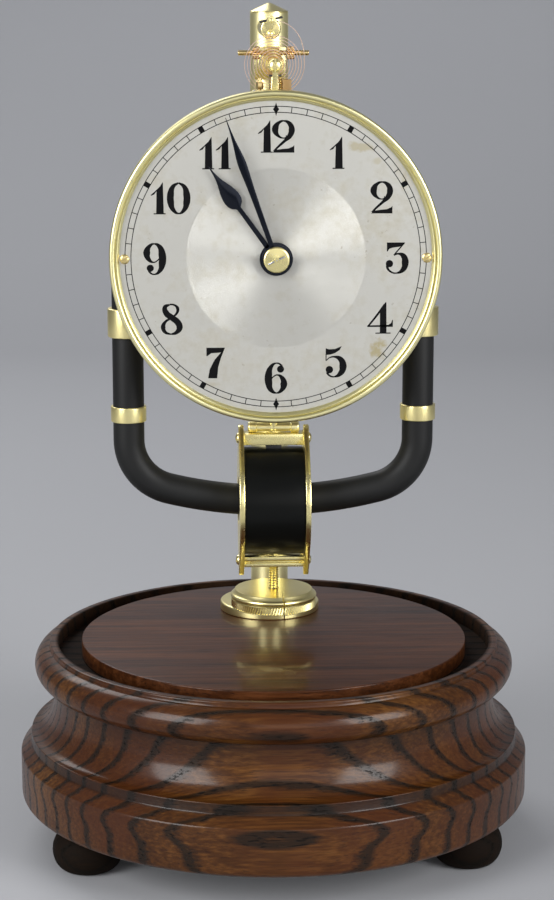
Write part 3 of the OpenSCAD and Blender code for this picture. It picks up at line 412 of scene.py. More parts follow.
def cut(made, *cutters):
    # takes the cutters' shapes out of a finished piece
    for bm in cutters:
        bmesh.ops.recalc_face_normals(bm, faces=bm.faces)
        mesh = bpy.data.meshes.new("cutter")
        bm.to_mesh(mesh)
        bm.free()
        tool = placed("cutter", mesh)
        carve = made.modifiers.new("carve", "BOOLEAN")
        carve.object = tool
        carve.solver = "EXACT"
        ready = finalMesh(made)
        made.modifiers.clear()
        old = made.data
        made.data = ready
        ready.name = old.name
        bpy.data.meshes.remove(old)
        bpy.data.objects.remove(tool)
        bpy.data.meshes.remove(mesh)
        ready.set_sharp_from_angle(angle=math.radians(35))


def dressed(node, body, surface, soften=0.0):
    # a copy of the solid with merged points, broken edges and smooth faces
    bm = bmesh.new()
    bm.from_mesh(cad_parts[node].data)
    bmesh.ops.remove_doubles(bm, verts=bm.verts, dist=2e-6)
    bmesh.ops.dissolve_limit(bm, angle_limit=math.radians(1.0), verts=bm.verts, edges=bm.edges)
    made = keep(bm, node + "_piece", body, surface, 30, soften)
    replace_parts(made, node)
    return made


# Base, platform and feet
base = {"wall": 100.0, "bottom": 17.0, "ridge": 43.6, "ridgeR": 95.8, "neck": 58.5, "neckR": 86.4,
        "torusZ": 70.6, "rimR": 88.0, "grooveR": 84.6, "seatR": 75.6, "seatZ": 74.2, "steps": 256,
        "boreR": 14.0, "boreTop": 31.0, "feetR": 84.0, "feetAt": (-150, -30, 90)}


def makeBase():
    groove, seat, neck, ridgeR = clock["grooveZ"], base["seatZ"], base["neck"], base["ridgeR"]
    outline = [(0.0, base["bottom"])]
    outline += arcPoints(base["wall"] - 3, base["bottom"] + 3, 3, 3, -90, 0, 8)
    outline += arcPoints(base["wall"] - 1.3, 35.2, 1.3, 1.3, 0, 52, 5)
    outline += [(98.2, 37.5), (97.0, 38.7), (96.0, 39.5), (ridgeR, 39.9)]
    outline += arcPoints(ridgeR - 0.35, base["ridge"] - 0.35, 0.35, 0.35, 0, 70, 4)
    outline += arcPoints(ridgeR, neck, ridgeR - base["neckR"], neck - base["ridge"], 267, 180, 24)
    outline += arcPoints(base["neckR"], base["torusZ"], 7.6, 7, -90, 76, 32)
    outline += [(base["rimR"], 77.9)]
    outline += arcPoints(87.3, 78.6, 0.7, 0.7, 0, 90, 5)
    outline += arcPoints(85.2, 78.7, 0.6, 0.6, 90, 180, 5)
    outline += [(base["grooveR"], groove), (base["seatR"], groove), (base["seatR"], seat), (0.0, seat)]
    bm = bmesh.new()
    turned(bm, outline, base["steps"])
    made = keep(bm, "turned_base", "clock_frame", "oak")
    bore = bmesh.new()
    bar(bore, (0, clock["columnY"], 10), (0, clock["columnY"], base["boreTop"]), base["boreR"], 64)
    cut(made, bore)
    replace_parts(made, "base_body")

    bm = bmesh.new()
    rim = [(0, seat), (75.5, seat)] + arcPoints(75.0, 79.2, 0.5, 0.5, 0, 90, 5) + [(0, clock["platformZ"])]
    turned(bm, rim, 192)
    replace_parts(keep(bm, "platform", "clock_frame", "platform"), "platform_disc")

    bm = bmesh.new()
    foot = [(0, 0)] + arcPoints(7.5, 7.99, 6, 7.99, -90, 50, 20) + [(10.1, 16), (10.1, 17), (0, 17)]
    for angle in base["feetAt"]:
        a = math.radians(angle)
        turned(bm, foot, 64, (base["feetR"] * math.cos(a), base["feetR"] * math.sin(a), 0))
    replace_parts(keep(bm, "bun_feet_turned", "clock_frame", "feet", 50), "bun_feet")


makeBase()
print("base made")


# Column
column = {"r": 7.5, "bore": 6.3, "flangeR": 20.2, "flangeH": 4.5, "slitTurn": -75, "capH": 3.8}


def makeColumn():
    r, y, low, top = column["r"], clock["columnY"], clock["platformZ"], clock["columnTop"]
    bm = bmesh.new()
    tube = [(r - 0.9, low), (r, low), (r, top - 0.15), (r - 0.15, top)]
    tube += [(column["bore"], top), (column["bore"], low)]
    turned(bm, tube + tube[:1], 128, (0, y, 0))
    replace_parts(keep(bm, "column", "clock_frame", "column", 40), "column_tube")

    wide, high = column["flangeR"], low + column["flangeH"]
    flange = [(r, low), (wide - 0.3, low), (wide, low + 0.3)]
    flange += arcPoints(wide - 0.8, low + 2.7, 0.8, 0.8, 0, 90, 6)
    flange += arcPoints(r + 1.6, high, 1, 1, 270, 180, 6) + [(r, high), (r, low)]
    bm = bmesh.new()
    turned(bm, flange, 128, (0, y, 0))
    made = keep(bm, "column_foot", "clock_frame", "turned", 40)
    cut(made, rimSlit(column["slitTurn"], 17, 22, 0.44, low - 1, low + 5, y))
    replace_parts(made, "column_flange")

    tip = top + column["capH"]
    cap = [(0, tip), (0.9, tip - 0.15), (r - 0.15, top + 0.62), (r, top + 0.4), (r, top)]
    cap += [(r - 1.25, top), (r - 1.25, top - 6), (2, top - 6), (2, top - 7.95), (0, top - 7.95)]
    bm = bmesh.new()
    turned(bm, cap, 128, (0, y, 0))
    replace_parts(keep(bm, "cone_cap", "column_cap", "turned", 25), "column_cap")


makeColumn()
print("column made")


# Magnet
magnet = {"r": 6.0, "cornerR": 20.0, "cornerZ": 158.445, "top": 220.945, "clampZ": 204.445, "collarZ": 168.945}


def makeMagnet():
    cornerX, cornerZ = clock["legX"] - magnet["cornerR"], magnet["cornerZ"]
    lean = math.degrees(math.asin(cornerX / (clock["swingR"] - magnet["cornerR"])))
    leg = Vector((0, 0, magnet["top"] - cornerZ)) * mm
    bm = bmesh.new()
    ring = bmesh.ops.create_circle(bm, cap_ends=True, radius=magnet["r"] * mm, segments=48)["verts"]
    bmesh.ops.translate(bm, verts=ring, vec=Vector((-clock["legX"], 0, magnet["top"])) * mm)
    made = bmesh.ops.extrude_edge_only(bm, edges=list({e for v in ring for e in v.link_edges}))["geom"]
    bmesh.ops.translate(bm, verts=vertsOf(made), vec=-leg)
    bends = [((-cornerX, 0, cornerZ), 90 - lean, 20), ((0, 0, clock["pivotZ"]), 2 * lean, 40),
             ((cornerX, 0, cornerZ), 90 - lean, 20)]
    for centre, angle, steps in bends:
        made = bmesh.ops.spin(bm, geom=edgesOf(made), cent=Vector(centre) * mm, axis=(0, -1, 0),
                              angle=math.radians(angle), steps=steps, use_duplicate=False)["geom_last"]
    made = bmesh.ops.extrude_edge_only(bm, edges=edgesOf(made))["geom"]
    bmesh.ops.translate(bm, verts=vertsOf(made), vec=leg)
    bmesh.ops.contextual_create(bm, geom=edgesOf(made))
    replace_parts(keep(bm, "magnet_bow", "clock_frame", "enamel", 60, 0.6, 3), "magnet_bar")

    for word, side in sides.items():
        for kind, h, r, edge in (("clamp", 11, 7.65, 0.4), ("collar", 6, 6.85, 0.3)):
            z = magnet[kind + "Z"]
            low, high = z - h / 2, z + h / 2
            hoop = [(magnet["r"], low)] + arcPoints(r - edge, low + edge, edge, edge, -90, 0, 5)
            hoop += arcPoints(r - edge, high - edge, edge, edge, 0, 90, 5)
            hoop += [(magnet["r"], high), (magnet["r"], low)]
            bm = bmesh.new()
            turned(bm, hoop, 96, (side * clock["legX"], 0, 0))
            made = keep(bm, kind + "_" + word, "clock_frame", "turned", 50)
            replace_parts(made, "magnet_%s_%s" % (kind, word))


def slottedHead(bm, spot, r, h, width, turn=0.0, facing=0.0, floor=0.45):
    # domed head split by a slot; it faces forward, or is swung round by facing
    head = bmesh.new()
    for half in (0, 1):
        part = bmesh.new()
        turned(part, arcPoints(0, 0, r, h, 0, 90, 8) + [(0, 0), (r, 0)], 48, axis="Y")
        rim = bmesh.ops.bisect_plane(part, geom=part.verts[:] + part.edges[:] + part.faces[:],
                                     plane_co=(0, 0, width * mm / 2), plane_no=(0, 0, 1), clear_inner=True)
        bmesh.ops.contextual_create(part, geom=edgesOf(rim["geom_cut"]))
        shift(part, rolled(turn + half * math.pi, "Y"))
        joinTo(head, part)
    bar(head, (0, 0.02, 0), (0, -h * floor, 0), r * 0.93)
    shift(head, moved(spot) @ rolled(facing, "Z"))
    joinTo(bm, head)


def makeClampScrews():
    bm = bmesh.new()
    for side in (-1, 1):
        slottedHead(bm, (side * clock["legX"], -7.62, magnet["clampZ"]), 1.8, 0.9, 0.4, 0.5 * side)
    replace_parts(keep(bm, "clamp_screw_heads", "clock_frame", "brass", 30), "clamp_screws")


makeMagnet()
makeClampScrews()
for node in ("magnet_yoke", "movement_bracket"):
    dressed(node, "clock_frame", "brass", 0.35)
print("magnet made")


# Dial
dial = {
    "r": 60.2,
    "grainR": 33.6,
    "trackOut": 56.1,
    "trackIn": 53.9,
    "line": 0.3,
    "printT": 0.03,
    "numeralR": 45.1,
    "numeralH": 11.9,
    "screwR": 56.3,
    "screwTurn": -35,
    "bezelR": 62.0,
    "bezelDeep": 5.0,
    "silver": (0.555, 0.545, 0.500),
    "tarnish": (0.405, 0.365, 0.26),
    "speck": (0.26, 0.21, 0.13),
    "stain": (0.40, 0.33, 0.15),
    "diamond": [(0, -2.5), (0.45, -1), (1.15, 0), (0.45, 1), (0, 2.5), (-0.45, 1), (-1.15, 0), (-0.45, -1)],
    # the bezel's inner lip and groove: radius, and how far they stand before the dial
    "lip": [(58.2, 0.0), (58.2, 0.3), (58.5, 0.62), (58.75, 1.1), (58.95, 1.65), (59.2, 1.8), (59.34, 1.6),
            (59.38, 0.7), (59.8, 0.7)],
    # stains: across and up from the middle, half width, half height, strength
    "stains": [(37.6, -34.4, 2.6, 3.8, 0.75), (31.4, 41.4, 4.2, 1.5, 0.5), (37.0, 36.0, 2.0, 1.2, 0.35),
               (47.5, 29.0, 1.0, 4.0, 0.3), (-24.0, -47.5, 3.5, 1.4, 0.3)],
}


def silverFinish():
    paint = Paint("silvered dial", Metallic=0.72)
    at = paint.place(move=(0, 0, -clock["dialZ"] * mm))
    x, y, z = paint.apart(at)
    radius = paint.sum("SQRT", x * x + z * z)
    inner = paint.level(radius, (dial["grainR"] + 0.35) * mm, (dial["grainR"] - 0.35) * mm)
    # turning marks, so fine that the face seems to lean in and out along its radius
    fineMarks = paint.sum("FRACT", radius * 17000.0) - 0.5
    marks = paint.sum("FRACT", radius * 10700.0) - 0.5
    uneven = paint.noise(paint.joined(radius * 1600.0, 0.0, 0.0), 1.0, 2.0, 0.6)
    lean = (fineMarks * 0.62 + marks * 0.62 + (uneven - 0.5) * 0.14) * (inner * 0.94 + 0.06)
    away = paint.vector("NORMALIZE", paint.joined(x, 0.0, z))
    grit = (paint.noise(at, 4200.0, 2.0) - 0.5) * 0.16
    turnedFace = paint.vector("ADD", paint.joined(0.0, -1.0, 0.0), paint.scaled(away, lean))
    normal = paint.vector("NORMALIZE", paint.vector("ADD", turnedFace, paint.joined(grit, 0.0, grit * 0.6)))
    cloud = paint.noise(at, 38.0, 4.0, 0.6)
    fine = paint.noise(at, 260.0, 3.0, 0.6)
    tarnish = paint.level(cloud * 0.55 + fine * 0.45, 0.48, 0.68) * 0.5
    shade = paint.mix(tarnish, dial["silver"], dial["tarnish"])
    specks = paint.level(paint.noise(paint.place(scale=(520, 1, 520)), 1.0, 3.0) + cloud * 0.25, 0.80, 0.88)
    shade = paint.mix(specks * 0.5, shade, dial["speck"])
    for across, up, wide, tall, strength in dial["stains"]:
        u = (x - across * mm) / (wide * mm)
        v = (z - up * mm) / (tall * mm)
        spread = paint.sum("SQRT", u * u + v * v) + (fine - 0.5) * 3.4 + (cloud - 0.5) * 1.2
        shade = paint.mix(paint.level(spread, 1.2, 0.55) * strength, shade, dial["stain"])
    rough = 0.40 - inner * 0.10 + tarnish * 0.2 + specks * 0.1
    return paint.set(Base_Color=shade, Roughness=rough, Normal=normal)


finish["silvered"] = silverFinish()

# Each numeral's marks, in hundredths of its height: its width, then lines (across, up, half width),
# dots of one such point, and flat shapes given by their corners (across, up)
strokes = {
    "1": (46, [
        [(17, 3), (18.5, 72), (11, 61.5), (1, 57.5), (0, 60), (12, 70), (29, 86), (37, 99), (38.5, 99),
         (40.5, 3)],
        [(9, 0), (9, 3.5), (46, 3.5), (46, 0)],
    ]),
    "2": (70, [
        [(3, 0), (70, 0), (70, 23.5), (66, 19), (52, 13), (33, 11.5), (12, 8.5)],
        [(6, 3.5, 3), (20, 18, 3.4), (40, 36, 4.5), (56, 52, 8), (62, 70, 9.8), (56, 88, 7.2), (38, 97.6, 2.4),
         (22, 92, 5), (12, 78, 10), (11, 68, 10), (20, 52, 4.5), (34, 45, 2), (44, 47.5, 2), (45, 54, 1.2)],
    ]),
    "3": (74, [
        [(5, 98.5), (62, 98.5), (60, 93), (45, 85), (25, 82.5), (13, 79), (7, 70), (5, 70)],
        [(59, 96, 2.2), (42, 76, 2), (27, 58.5, 2.2)],
        [(27, 58.5, 2), (42, 63, 3), (57, 56, 8.5), (63, 36, 11.2), (57, 14, 8), (36, 2.2, 2.2), (17, 7, 3),
         (7, 20, 4), (8, 30, 5)],
        [(13.5, 32, 11.5)],
    ]),
    "4": (82, [
        [(40, 3), (40, 66), (56, 99.5), (60, 99.5), (61, 3)],
        [(55, 94, 3), (30, 58, 3.4), (3, 24, 2.8)],
        [(0, 21.5), (0, 26.5), (66, 28), (75, 33), (79, 44), (81, 44), (81, 21.5)],
        [(26, 0), (26, 3.5), (74, 3.5), (74, 0)],
    ]),
    "5": (68, [
        [(1, 93.5), (12, 90), (30, 91), (52, 100), (45, 87), (30, 77.5), (15, 73), (1, 72)],
        [(2.2, 76, 1.6), (2.2, 53, 1.6)],
        [(2.2, 53.5, 1.4), (13, 63, 1.8), (28, 66, 3), (48, 58, 8.5), (56, 36, 11.8), (49, 14, 8.5),
         (28, 2.2, 2.2), (12, 7, 3), (5, 17, 4)],
        [(13, 25, 11.8)],
    ]),
    "6": (72, [
        [(57, 80, 3), (51, 92, 3), (36, 97.6, 2.2), (20, 86, 6.5), (12.5, 62, 11.5), (12.5, 36, 11.8),
         (20, 12, 7.5), (37, 2.2, 2.2), (52, 10, 6), (60.5, 30, 11.2), (55, 50, 7), (40, 60, 2.2), (27, 54, 2),
         (19, 45, 2)],
        [(50, 78.5, 11.2)],
    ]),
    "7": (60, [
        [(0, 97.5), (58.5, 97.5), (52, 84), (40, 81.5), (15, 80), (3, 71), (0, 71)],
        [(58.5, 97.5), (46, 66), (37, 36), (33.5, 0), (5, 0), (10, 28), (25, 58), (47, 84)],
    ]),
    "8": (70, [
        [(30, 96.5, 2.6), (15, 88, 7), (19, 69, 9.5), (36, 55, 9.5), (54, 40, 10), (60, 24, 10), (50, 8, 6),
         (33, 2.4, 2.4)],
        [(33, 2.4, 2.4), (15, 9, 5), (8.5, 25, 7.6), (15, 41, 4.5), (36, 55, 2.4), (52, 70, 4), (54.5, 84, 5.2),
         (44, 95, 3), (30, 96.8, 2.6)],
    ]),
    "0": (72, [
        [(36, 97.6, 2.4), (19, 86, 6.6), (11.2, 62, 10.8), (11.2, 38, 10.8), (19, 14, 6.6), (36, 2.4, 2.4),
         (53, 14, 6.6), (60.8, 38, 10.8), (60.8, 62, 10.8), (53, 86, 6.6), (36, 97.6, 2.4)],
    ]),
}
strokes["9"] = (72, [[(72 - x, 100 - y, w) for x, y, w in line] for line in strokes["6"][1]])


def inkShape(bm, corners, x0, z0, unit):
    # a flat shape of ink with straight sides
    part = bmesh.new()
    plate(part, [(x0 + x * unit, clock["dialY"], z0 + z * unit) for x, z in corners], (0, -dial["printT"], 0))
    joinTo(bm, part)


def inkLine(bm, line, x0, z0, unit):
    # a round stroke of changing thickness, pressed flat onto the dial
    data = bpy.data.curves.new("ink", "CURVE")
    data.dimensions = "3D"
    data.bevel_depth = 1.0
    data.bevel_resolution = 2
    data.use_fill_caps = True
    data.twist_mode = "Z_UP"
    data.resolution_u = 12
    spline = data.splines.new("BEZIER")
    spline.bezier_points.add(len(line) - 1)
    for point, (x, z, half) in zip(spline.bezier_points, line):
        point.co = (x * unit, z * unit, 0.0)
        point.radius = half * unit
        point.handle_left_type = point.handle_right_type = "AUTO"
    part = fromCurve(data)
    flat = Matrix.Diagonal((mm, mm, dial["printT"] * mm, 1.0))
    shift(part, moved((x0, clock["dialY"], z0)) @ tilts["Y"] @ flat)
    for v in part.verts:
        v.co.y = max(v.co.y, (clock["dialY"] - dial["printT"]) * mm)
    joinTo(bm, part)


def inkMarks(bm, marks, x0, z0, unit):
    for mark in marks:
        if len(mark[0]) == 2:
            inkShape(bm, mark, x0, z0, unit)
        elif len(mark) == 1:
            x, z, r = mark[0]
            inkShape(bm, arcPoints(x, z, r, r, 0, 345, 23), x0, z0, unit)
        else:
            inkLine(bm, mark, x0, z0, unit)


def printTick(bm, angle, inner, outer, wide):
    part = bmesh.new()
    block(part, -wide / 2, wide / 2, -dial["printT"], 0.2, inner, outer)
    shift(part, moved((0, clock["dialY"], clock["dialZ"])) @ rolled(math.radians(angle), "Y"))
    joinTo(bm, part)


def printDial():
    front, z = -clock["dialY"], clock["dialZ"]
    bm = bmesh.new()
    for r in (dial["trackOut"], dial["trackIn"]):
        half, inkTop = dial["line"] / 2, front + dial["printT"]
        ring = [(r - half, front - 0.2), (r - half, inkTop), (r + half, inkTop), (r + half, front - 0.2)]
        turned(bm, ring + ring[:1], 240, (0, 0, z), "Y")
    middle = (dial["trackIn"] + dial["trackOut"]) / 2
    for minute in range(60):
        if minute % 5:
            printTick(bm, minute * 6, dial["trackIn"], dial["trackOut"], dial["line"])
        elif minute % 15:
            printTick(bm, minute * 6, middle - 1.15, middle + 1.15, 1.9)
    for way in (1, -1):
        inkShape(bm, dial["diamond"], 0, z + way * middle, 1.0)
    unit = dial["numeralH"] / 100
    for hour in range(1, 13):
        digits = str(hour)
        gap = -3 if hour == 12 else 5
        wide = sum(strokes[d][0] for d in digits) + gap * (len(digits) - 1)
        a = math.radians(hour * 30)
        x0 = dial["numeralR"] * math.sin(a) - wide * unit / 2
        z0 = z + dial["numeralR"] * math.cos(a) - dial["numeralH"] / 2
        for d in digits:
            inkMarks(bm, strokes[d][1], x0, z0, unit)
            x0 += (strokes[d][0] + gap) * unit
    keep(bm, "dial_print", "clock_frame", "print", 40)


def makeDial():
    y, z, screwR = clock["dialY"], clock["dialZ"], dial["screwR"]
    bm = bmesh.new()
    turned(bm, [(0, -y), (dial["r"], -y), (dial["r"], -y - 1), (3.6, -y - 1)], 192, (0, 0, z), "Y")
    face = keep(bm, "dial_face", "clock_frame", "silvered", 40)
    face.data.materials.append(finish["rawBrass"])
    for part in face.data.polygons:
        part.material_index = 0 if part.normal.y < -0.7 else 1
    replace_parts(face, "dial_plate")
    printDial()

    bead = [(r, -y + out) for r, out in dial["lip"]] + arcPoints(60.88, -y + 1.35, 1.12, 1.15, 178, 0, 20)
    wide, back = dial["bezelR"], -y - dial["bezelDeep"]
    bead += [(wide, back + 0.3), (wide - 0.3, back), (dial["r"], back), (dial["r"], -y), (dial["lip"][0][0], -y)]
    bm = bmesh.new()
    turned(bm, bead, 256, (0, 0, z), "Y")
    made = keep(bm, "bezel_ring", "clock_frame", "bezel", 40)
    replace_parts(made, "bezel")
    for side in (-1, 1):  # room for the screw heads
        notch = bmesh.new()
        bar(notch, (side * screwR, y - 5, z), (side * screwR, y + 0.01, z), 2.2, 48)
        cut(made, notch)
    bm = bmesh.new()
    for side in (-1, 1):
        block(bm, *sorted((side * 54.3, side * 60.6)), y + 1, y + 3, z - 3, z + 3)
    keep(bm, "bezel_lugs", "clock_frame", "bezel", 40, 0.3)
    bm = bmesh.new()
    for side in (-1, 1):
        slottedHead(bm, (side * screwR, y, z), 1.85, 0.7, 0.62, math.radians(dial["screwTurn"]), 0.0, 0.15)
        bar(bm, (side * screwR, y, z), (side * screwR, y + 3, z), 1.0, 24)
    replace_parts(keep(bm, "dial_screw_heads", "clock_frame", "rawBrass", 30), "dial_screws")


makeDial()
print("dial made")


# Hands and hub
hands = {
    # turn from 12, distance forward, thickness, ring, and the blade's half width at each distance from the hub
    "hour": {
        "turn": -36.1, "y": 25.6, "thick": 0.7, "ringR": 6.2,
        "half": [(0.95, 5.0), (0.85, 23.4), (1.3, 23.9), (2.3, 24.7), (3.0, 26.0), (3.25, 27.6), (3.1, 29.4),
                 (2.6, 31.4), (1.9, 33.4), (1.25, 35.2), (0.8, 36.8), (0.5, 38.6), (0.26, 41.0), (0.08, 43.0)],
    },
    "minute": {
        "turn": -19.7, "y": 27.6, "thick": 0.6, "ringR": 5.5,
        "half": [(0.9, 4.5), (0.95, 12.0), (1.05, 20.0), (1.2, 27.0), (1.42, 32.0), (1.6, 35.5), (1.62, 37.5),
                 (1.45, 40.0), (1.05, 43.0), (0.62, 46.5), (0.36, 50.0), (0.2, 53.5), (0.08, 55.5)],
    },
    "boreR": 3.35,
    "colletY": 28.3,
    "endY": 30.64,
    "pinY": 30.35,
    "pinTurn": 25,
    "pinHalf": 3.4,
}


def handBlade(node, body, hand):
    z, y, back = clock["dialZ"], hand["y"], hand["y"] + hand["thick"]
    edge = hand["half"] + [(-u, v) for u, v in reversed(hand["half"])]
    bm = bmesh.new()
    plate(bm, [(u, -y, v) for u, v in edge], (0, -hand["thick"], 0))
    shift(bm, moved((0, 0, z)) @ rolled(math.radians(hand["turn"]), "Y"))
    ring = [(hands["boreR"], y), (hand["ringR"], y), (hand["ringR"], back), (hands["boreR"], back)]
    turned(bm, ring + ring[:1], 96, (0, 0, z), "Y")
    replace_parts(keep(bm, node + "_blade", body, "blued", 60, 0.28), node)


def makeHands():
    z, y, end = clock["dialZ"], hands["colletY"], hands["endY"]
    handBlade("hour_hand", "hour_pipe", hands["hour"])
    handBlade("minute_hand", "minute_arbor", hands["minute"])
    disc = [(1.0, y), (4.85, y)] + arcPoints(4.05, y + 0.3, 0.8, 0.6, 0, 90, 8)
    disc += [(1.6, y + 1.15), (1.0, y + 1.2), (1.0, y)]
    bm = bmesh.new()
    turned(bm, disc, 96, (0, 0, z), "Y")
    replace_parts(keep(bm, "hand_collet_disc", "minute_arbor", "brass", 40), "hand_collet")
    tip = [(0, y + 0.3), (1.02, y + 0.3), (1.02, end)] + arcPoints(0.0, end, 1.02, 0.58, 0, 90, 8)
    bm = bmesh.new()
    turned(bm, tip, 48, (0, 0, z), "Y")
    keep(bm, "arbor_end", "minute_arbor", "steel", 40)
    slope = math.radians(hands["pinTurn"])
    dx, dz = hands["pinHalf"] * math.cos(slope), hands["pinHalf"] * math.sin(slope)
    bm = bmesh.new()
    bar(bm, (-dx, -hands["pinY"], z - dz), (dx, -hands["pinY"], z + dz), 0.35, 20)
    keep(bm, "taper_pin", "minute_arbor", "steel", 40, 0.1)


makeHands()
print("hands made")


# Pivot, hairspring and cross arm
top = {"cockY": -17.0, "cockHoleZ": 298.4, "studX": -1.0, "studZ": 315.0, "postZ": 318.2, "armZ": 306.2,
       "armIn": 2.7, "armLong": 10.6, "nutX": 6.5, "nutWide": 2.6, "springY": -4.4, "turns": 8, "springR": 11.6,
       "springIn": 3.0, "springT": 0.2, "springW": 1.5, "stripZ": 288.4, "stripY": -7.9, "postX": -5.4,
       "rodX": 2.3}


def threaded(bm, start, length, r, pitch, depth, axis="Z", sides=28):
    # a zigzag edge is spun while it climbs by one pitch, and its ends are trimmed
    part = bmesh.new()
    points = []
    for i in range((int(length / pitch) + 3) * 2 + 1):
        points.append(part.verts.new(((r if i % 2 else r - depth) * mm, 0, (i * 0.5 - 2) * pitch * mm)))
    edges = [part.edges.new(pair) for pair in zip(points, points[1:])]
    bmesh.ops.spin(part, geom=points + edges, cent=(0, 0, 0), axis=(0, 0, 1), dvec=(0, 0, pitch * mm / sides),
                   angle=2 * math.pi, steps=sides, use_duplicate=False)
    bmesh.ops.remove_doubles(part, verts=part.verts, dist=2e-6)
    for height, up in ((0.0, -1), (length, 1)):
        rim = bmesh.ops.bisect_plane(part, geom=part.verts[:] + part.edges[:] + part.faces[:],
                                     plane_co=(0, 0, height * mm), plane_no=(0, 0, up), clear_outer=True)
        bmesh.ops.edgeloop_fill(part, edges=edgesOf(rim["geom_cut"]))
    stand(bm, part, start, axis)


def knurled(bm, start, r, height, teeth, depth, axis="Z", lean=0.0):
    # a toothed disc drawn up in four steps, each turned by lean
    part = bmesh.new()
    ring = bmesh.ops.create_circle(part, cap_ends=True, radius=r * mm, segments=teeth * 2)["verts"]
    for v in ring[::2]:
        v.co *= (r - depth) / r
    made = part.faces[:]
    for step in range(4):
        faces = [g for g in made if isinstance(g, bmesh.types.BMFace)]
        made = bmesh.ops.extrude_face_region(part, geom=faces)["geom"]
        bmesh.ops.translate(part, verts=vertsOf(made), vec=(0, 0, height * mm / 4))
        bmesh.ops.rotate(part, verts=vertsOf(made), cent=(0, 0, 0), matrix=Matrix.Rotation(lean, 3, "Z"))
    stand(bm, part, start, axis)


def makeSpring():
    endR, outR = top["postZ"] - clock["pivotZ"], top["springR"]
    endAngle = math.degrees(math.acos((top["studX"] + 1.75) / endR))
    whole = 360 * top["turns"]
    line = []  # angle and radius, out along the spiral and up to the stud
    for i in range(top["turns"] * 72 + 1):
        a = 5.0 * i - whole
        line.append((a, outR + (outR - top["springIn"]) * a / whole))
    for i in range(1, 19):
        a = endAngle * i / 18
        line.append((a, outR + (endR - outR) * (1 - math.cos(math.pi * a / endAngle)) / 2))
    data = bpy.data.curves.new("strip", "CURVE")
    data.dimensions = "2D"
    data.extrude = top["springW"] / 2
    spline = data.splines.new("POLY")
    spline.points.add(len(line) - 1)
    for point, (a, r) in zip(spline.points, line):
        point.co = (r * math.cos(math.radians(a)), r * math.sin(math.radians(a)), 0, 1)
    bm = fromCurve(data)
    bmesh.ops.remove_doubles(bm, verts=bm.verts, dist=1e-4)
    bmesh.ops.recalc_face_normals(bm, faces=bm.faces)
    bmesh.ops.solidify(bm, geom=bm.faces[:], thickness=top["springT"])
    spot = moved((0, top["springY"] + top["springW"] / 2, clock["pivotZ"]))
    shift(bm, spot @ tilts["Y"] @ Matrix.Scale(mm, 4))
    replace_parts(keep(bm, "hairspring_strip", "clock_frame", "bronze", 40), "hairspring")


def makeTop():
    z, armZ, armIn, long = clock["pivotZ"], top["armZ"], top["armIn"], top["armLong"]
    dressed("pivot_block", "clock_frame", "brass", 0.3)
    cock = dressed("front_cock", "clock_frame", "brass", 0.15).data
    cock.materials.append(finish["darkSteel"])
    # painted shade: the faces inside the hole take the dark steel finish so that the hole looks dark
    for face in cock.polygons:  # the hole through the cock is dark
        if abs(face.center.x) > 1.05 * mm and abs(face.center.z - top["cockHoleZ"] * mm) < 0.6 * mm:
            face.material_index = 1
    dressed("spring_stud", "clock_frame", "brass", 0.12)
    dressed("stud_pin", "clock_frame", "darkSteel", 0.08)
    dressed("pendulum_arbor", "pendulum", "brass", 0.12)
    bm = bmesh.new()
    slottedHead(bm, (0, top["cockY"], z), 2.5, 1.4, 0.55, quarter)
    bar(bm, (0, top["cockY"], z), (0, top["cockY"] + 4.2, z), 1.3)
    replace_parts(keep(bm, "pivot_screw_head", "clock_frame", "brass", 30), "pivot_screw")
    bm = bmesh.new()
    slottedHead(bm, (top["studX"], 1.0, top["studZ"] - 1.9), 1.5, 1.2, 0.3, floor=0.7)
    slottedHead(bm, (top["studX"], -5.48, top["postZ"]), 0.85, 0.45, 0.25, 0.1)
    keep(bm, "stud_screws", "clock_frame", "brass", 30)

    bm = bmesh.new()
    for start in (-armIn - long, armIn):
        threaded(bm, (start, 0, armZ), long, 1.1, 1.05, 0.22, "X")
    bar(bm, (-3, 0, armZ), (3, 0, armZ), 0.95, 24)
    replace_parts(keep(bm, "threaded_cross_arm", "pendulum", "redBrass", 50), "cross_arm")
    for word, side in sides.items():
        bm = bmesh.new()
        knurled(bm, (side * top["nutX"] - top["nutWide"] / 2, 0, armZ), 2.4, top["nutWide"], 18, 0.28, "X")
        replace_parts(keep(bm, "knurled_nut_" + word, "arm_nut_" + word, "redBrass", 30), "arm_nut_" + word)

    y, low = top["stripY"], top["stripZ"]
    bm = bmesh.new()
    block(bm, -7.5, 7.5, -9.4, -6.4, 286, 288.5)
    keep(bm, "terminal_strip", "clock_frame", "ebonite", 40, 0.15)
    bm = bmesh.new()
    bar(bm, (top["postX"], y, low), (top["postX"], y, low + 8.7), 0.7, 24)
    hexNut = [(0, 293.0), (1.3, 293.0), (1.4, 293.2), (1.4, 295.5), (1.25, 295.7), (0, 295.7)]
    turned(bm, hexNut, 6, (top["postX"], y, 0))
    threaded(bm, (top["rodX"], y, low), 8.8, 0.9, 0.9, 0.25)
    keep(bm, "terminal_screws", "clock_frame", "redBrass", 40)
    bm = bmesh.new()
    block(bm, 3.15, 6.4, -9.3, -6.5, low, 296.7)
    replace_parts(keep(bm, "terminal_block", "clock_frame", "fibre", 40, 0.35), "terminals")


makeSpring()
makeTop()
print("pivot and spring made")


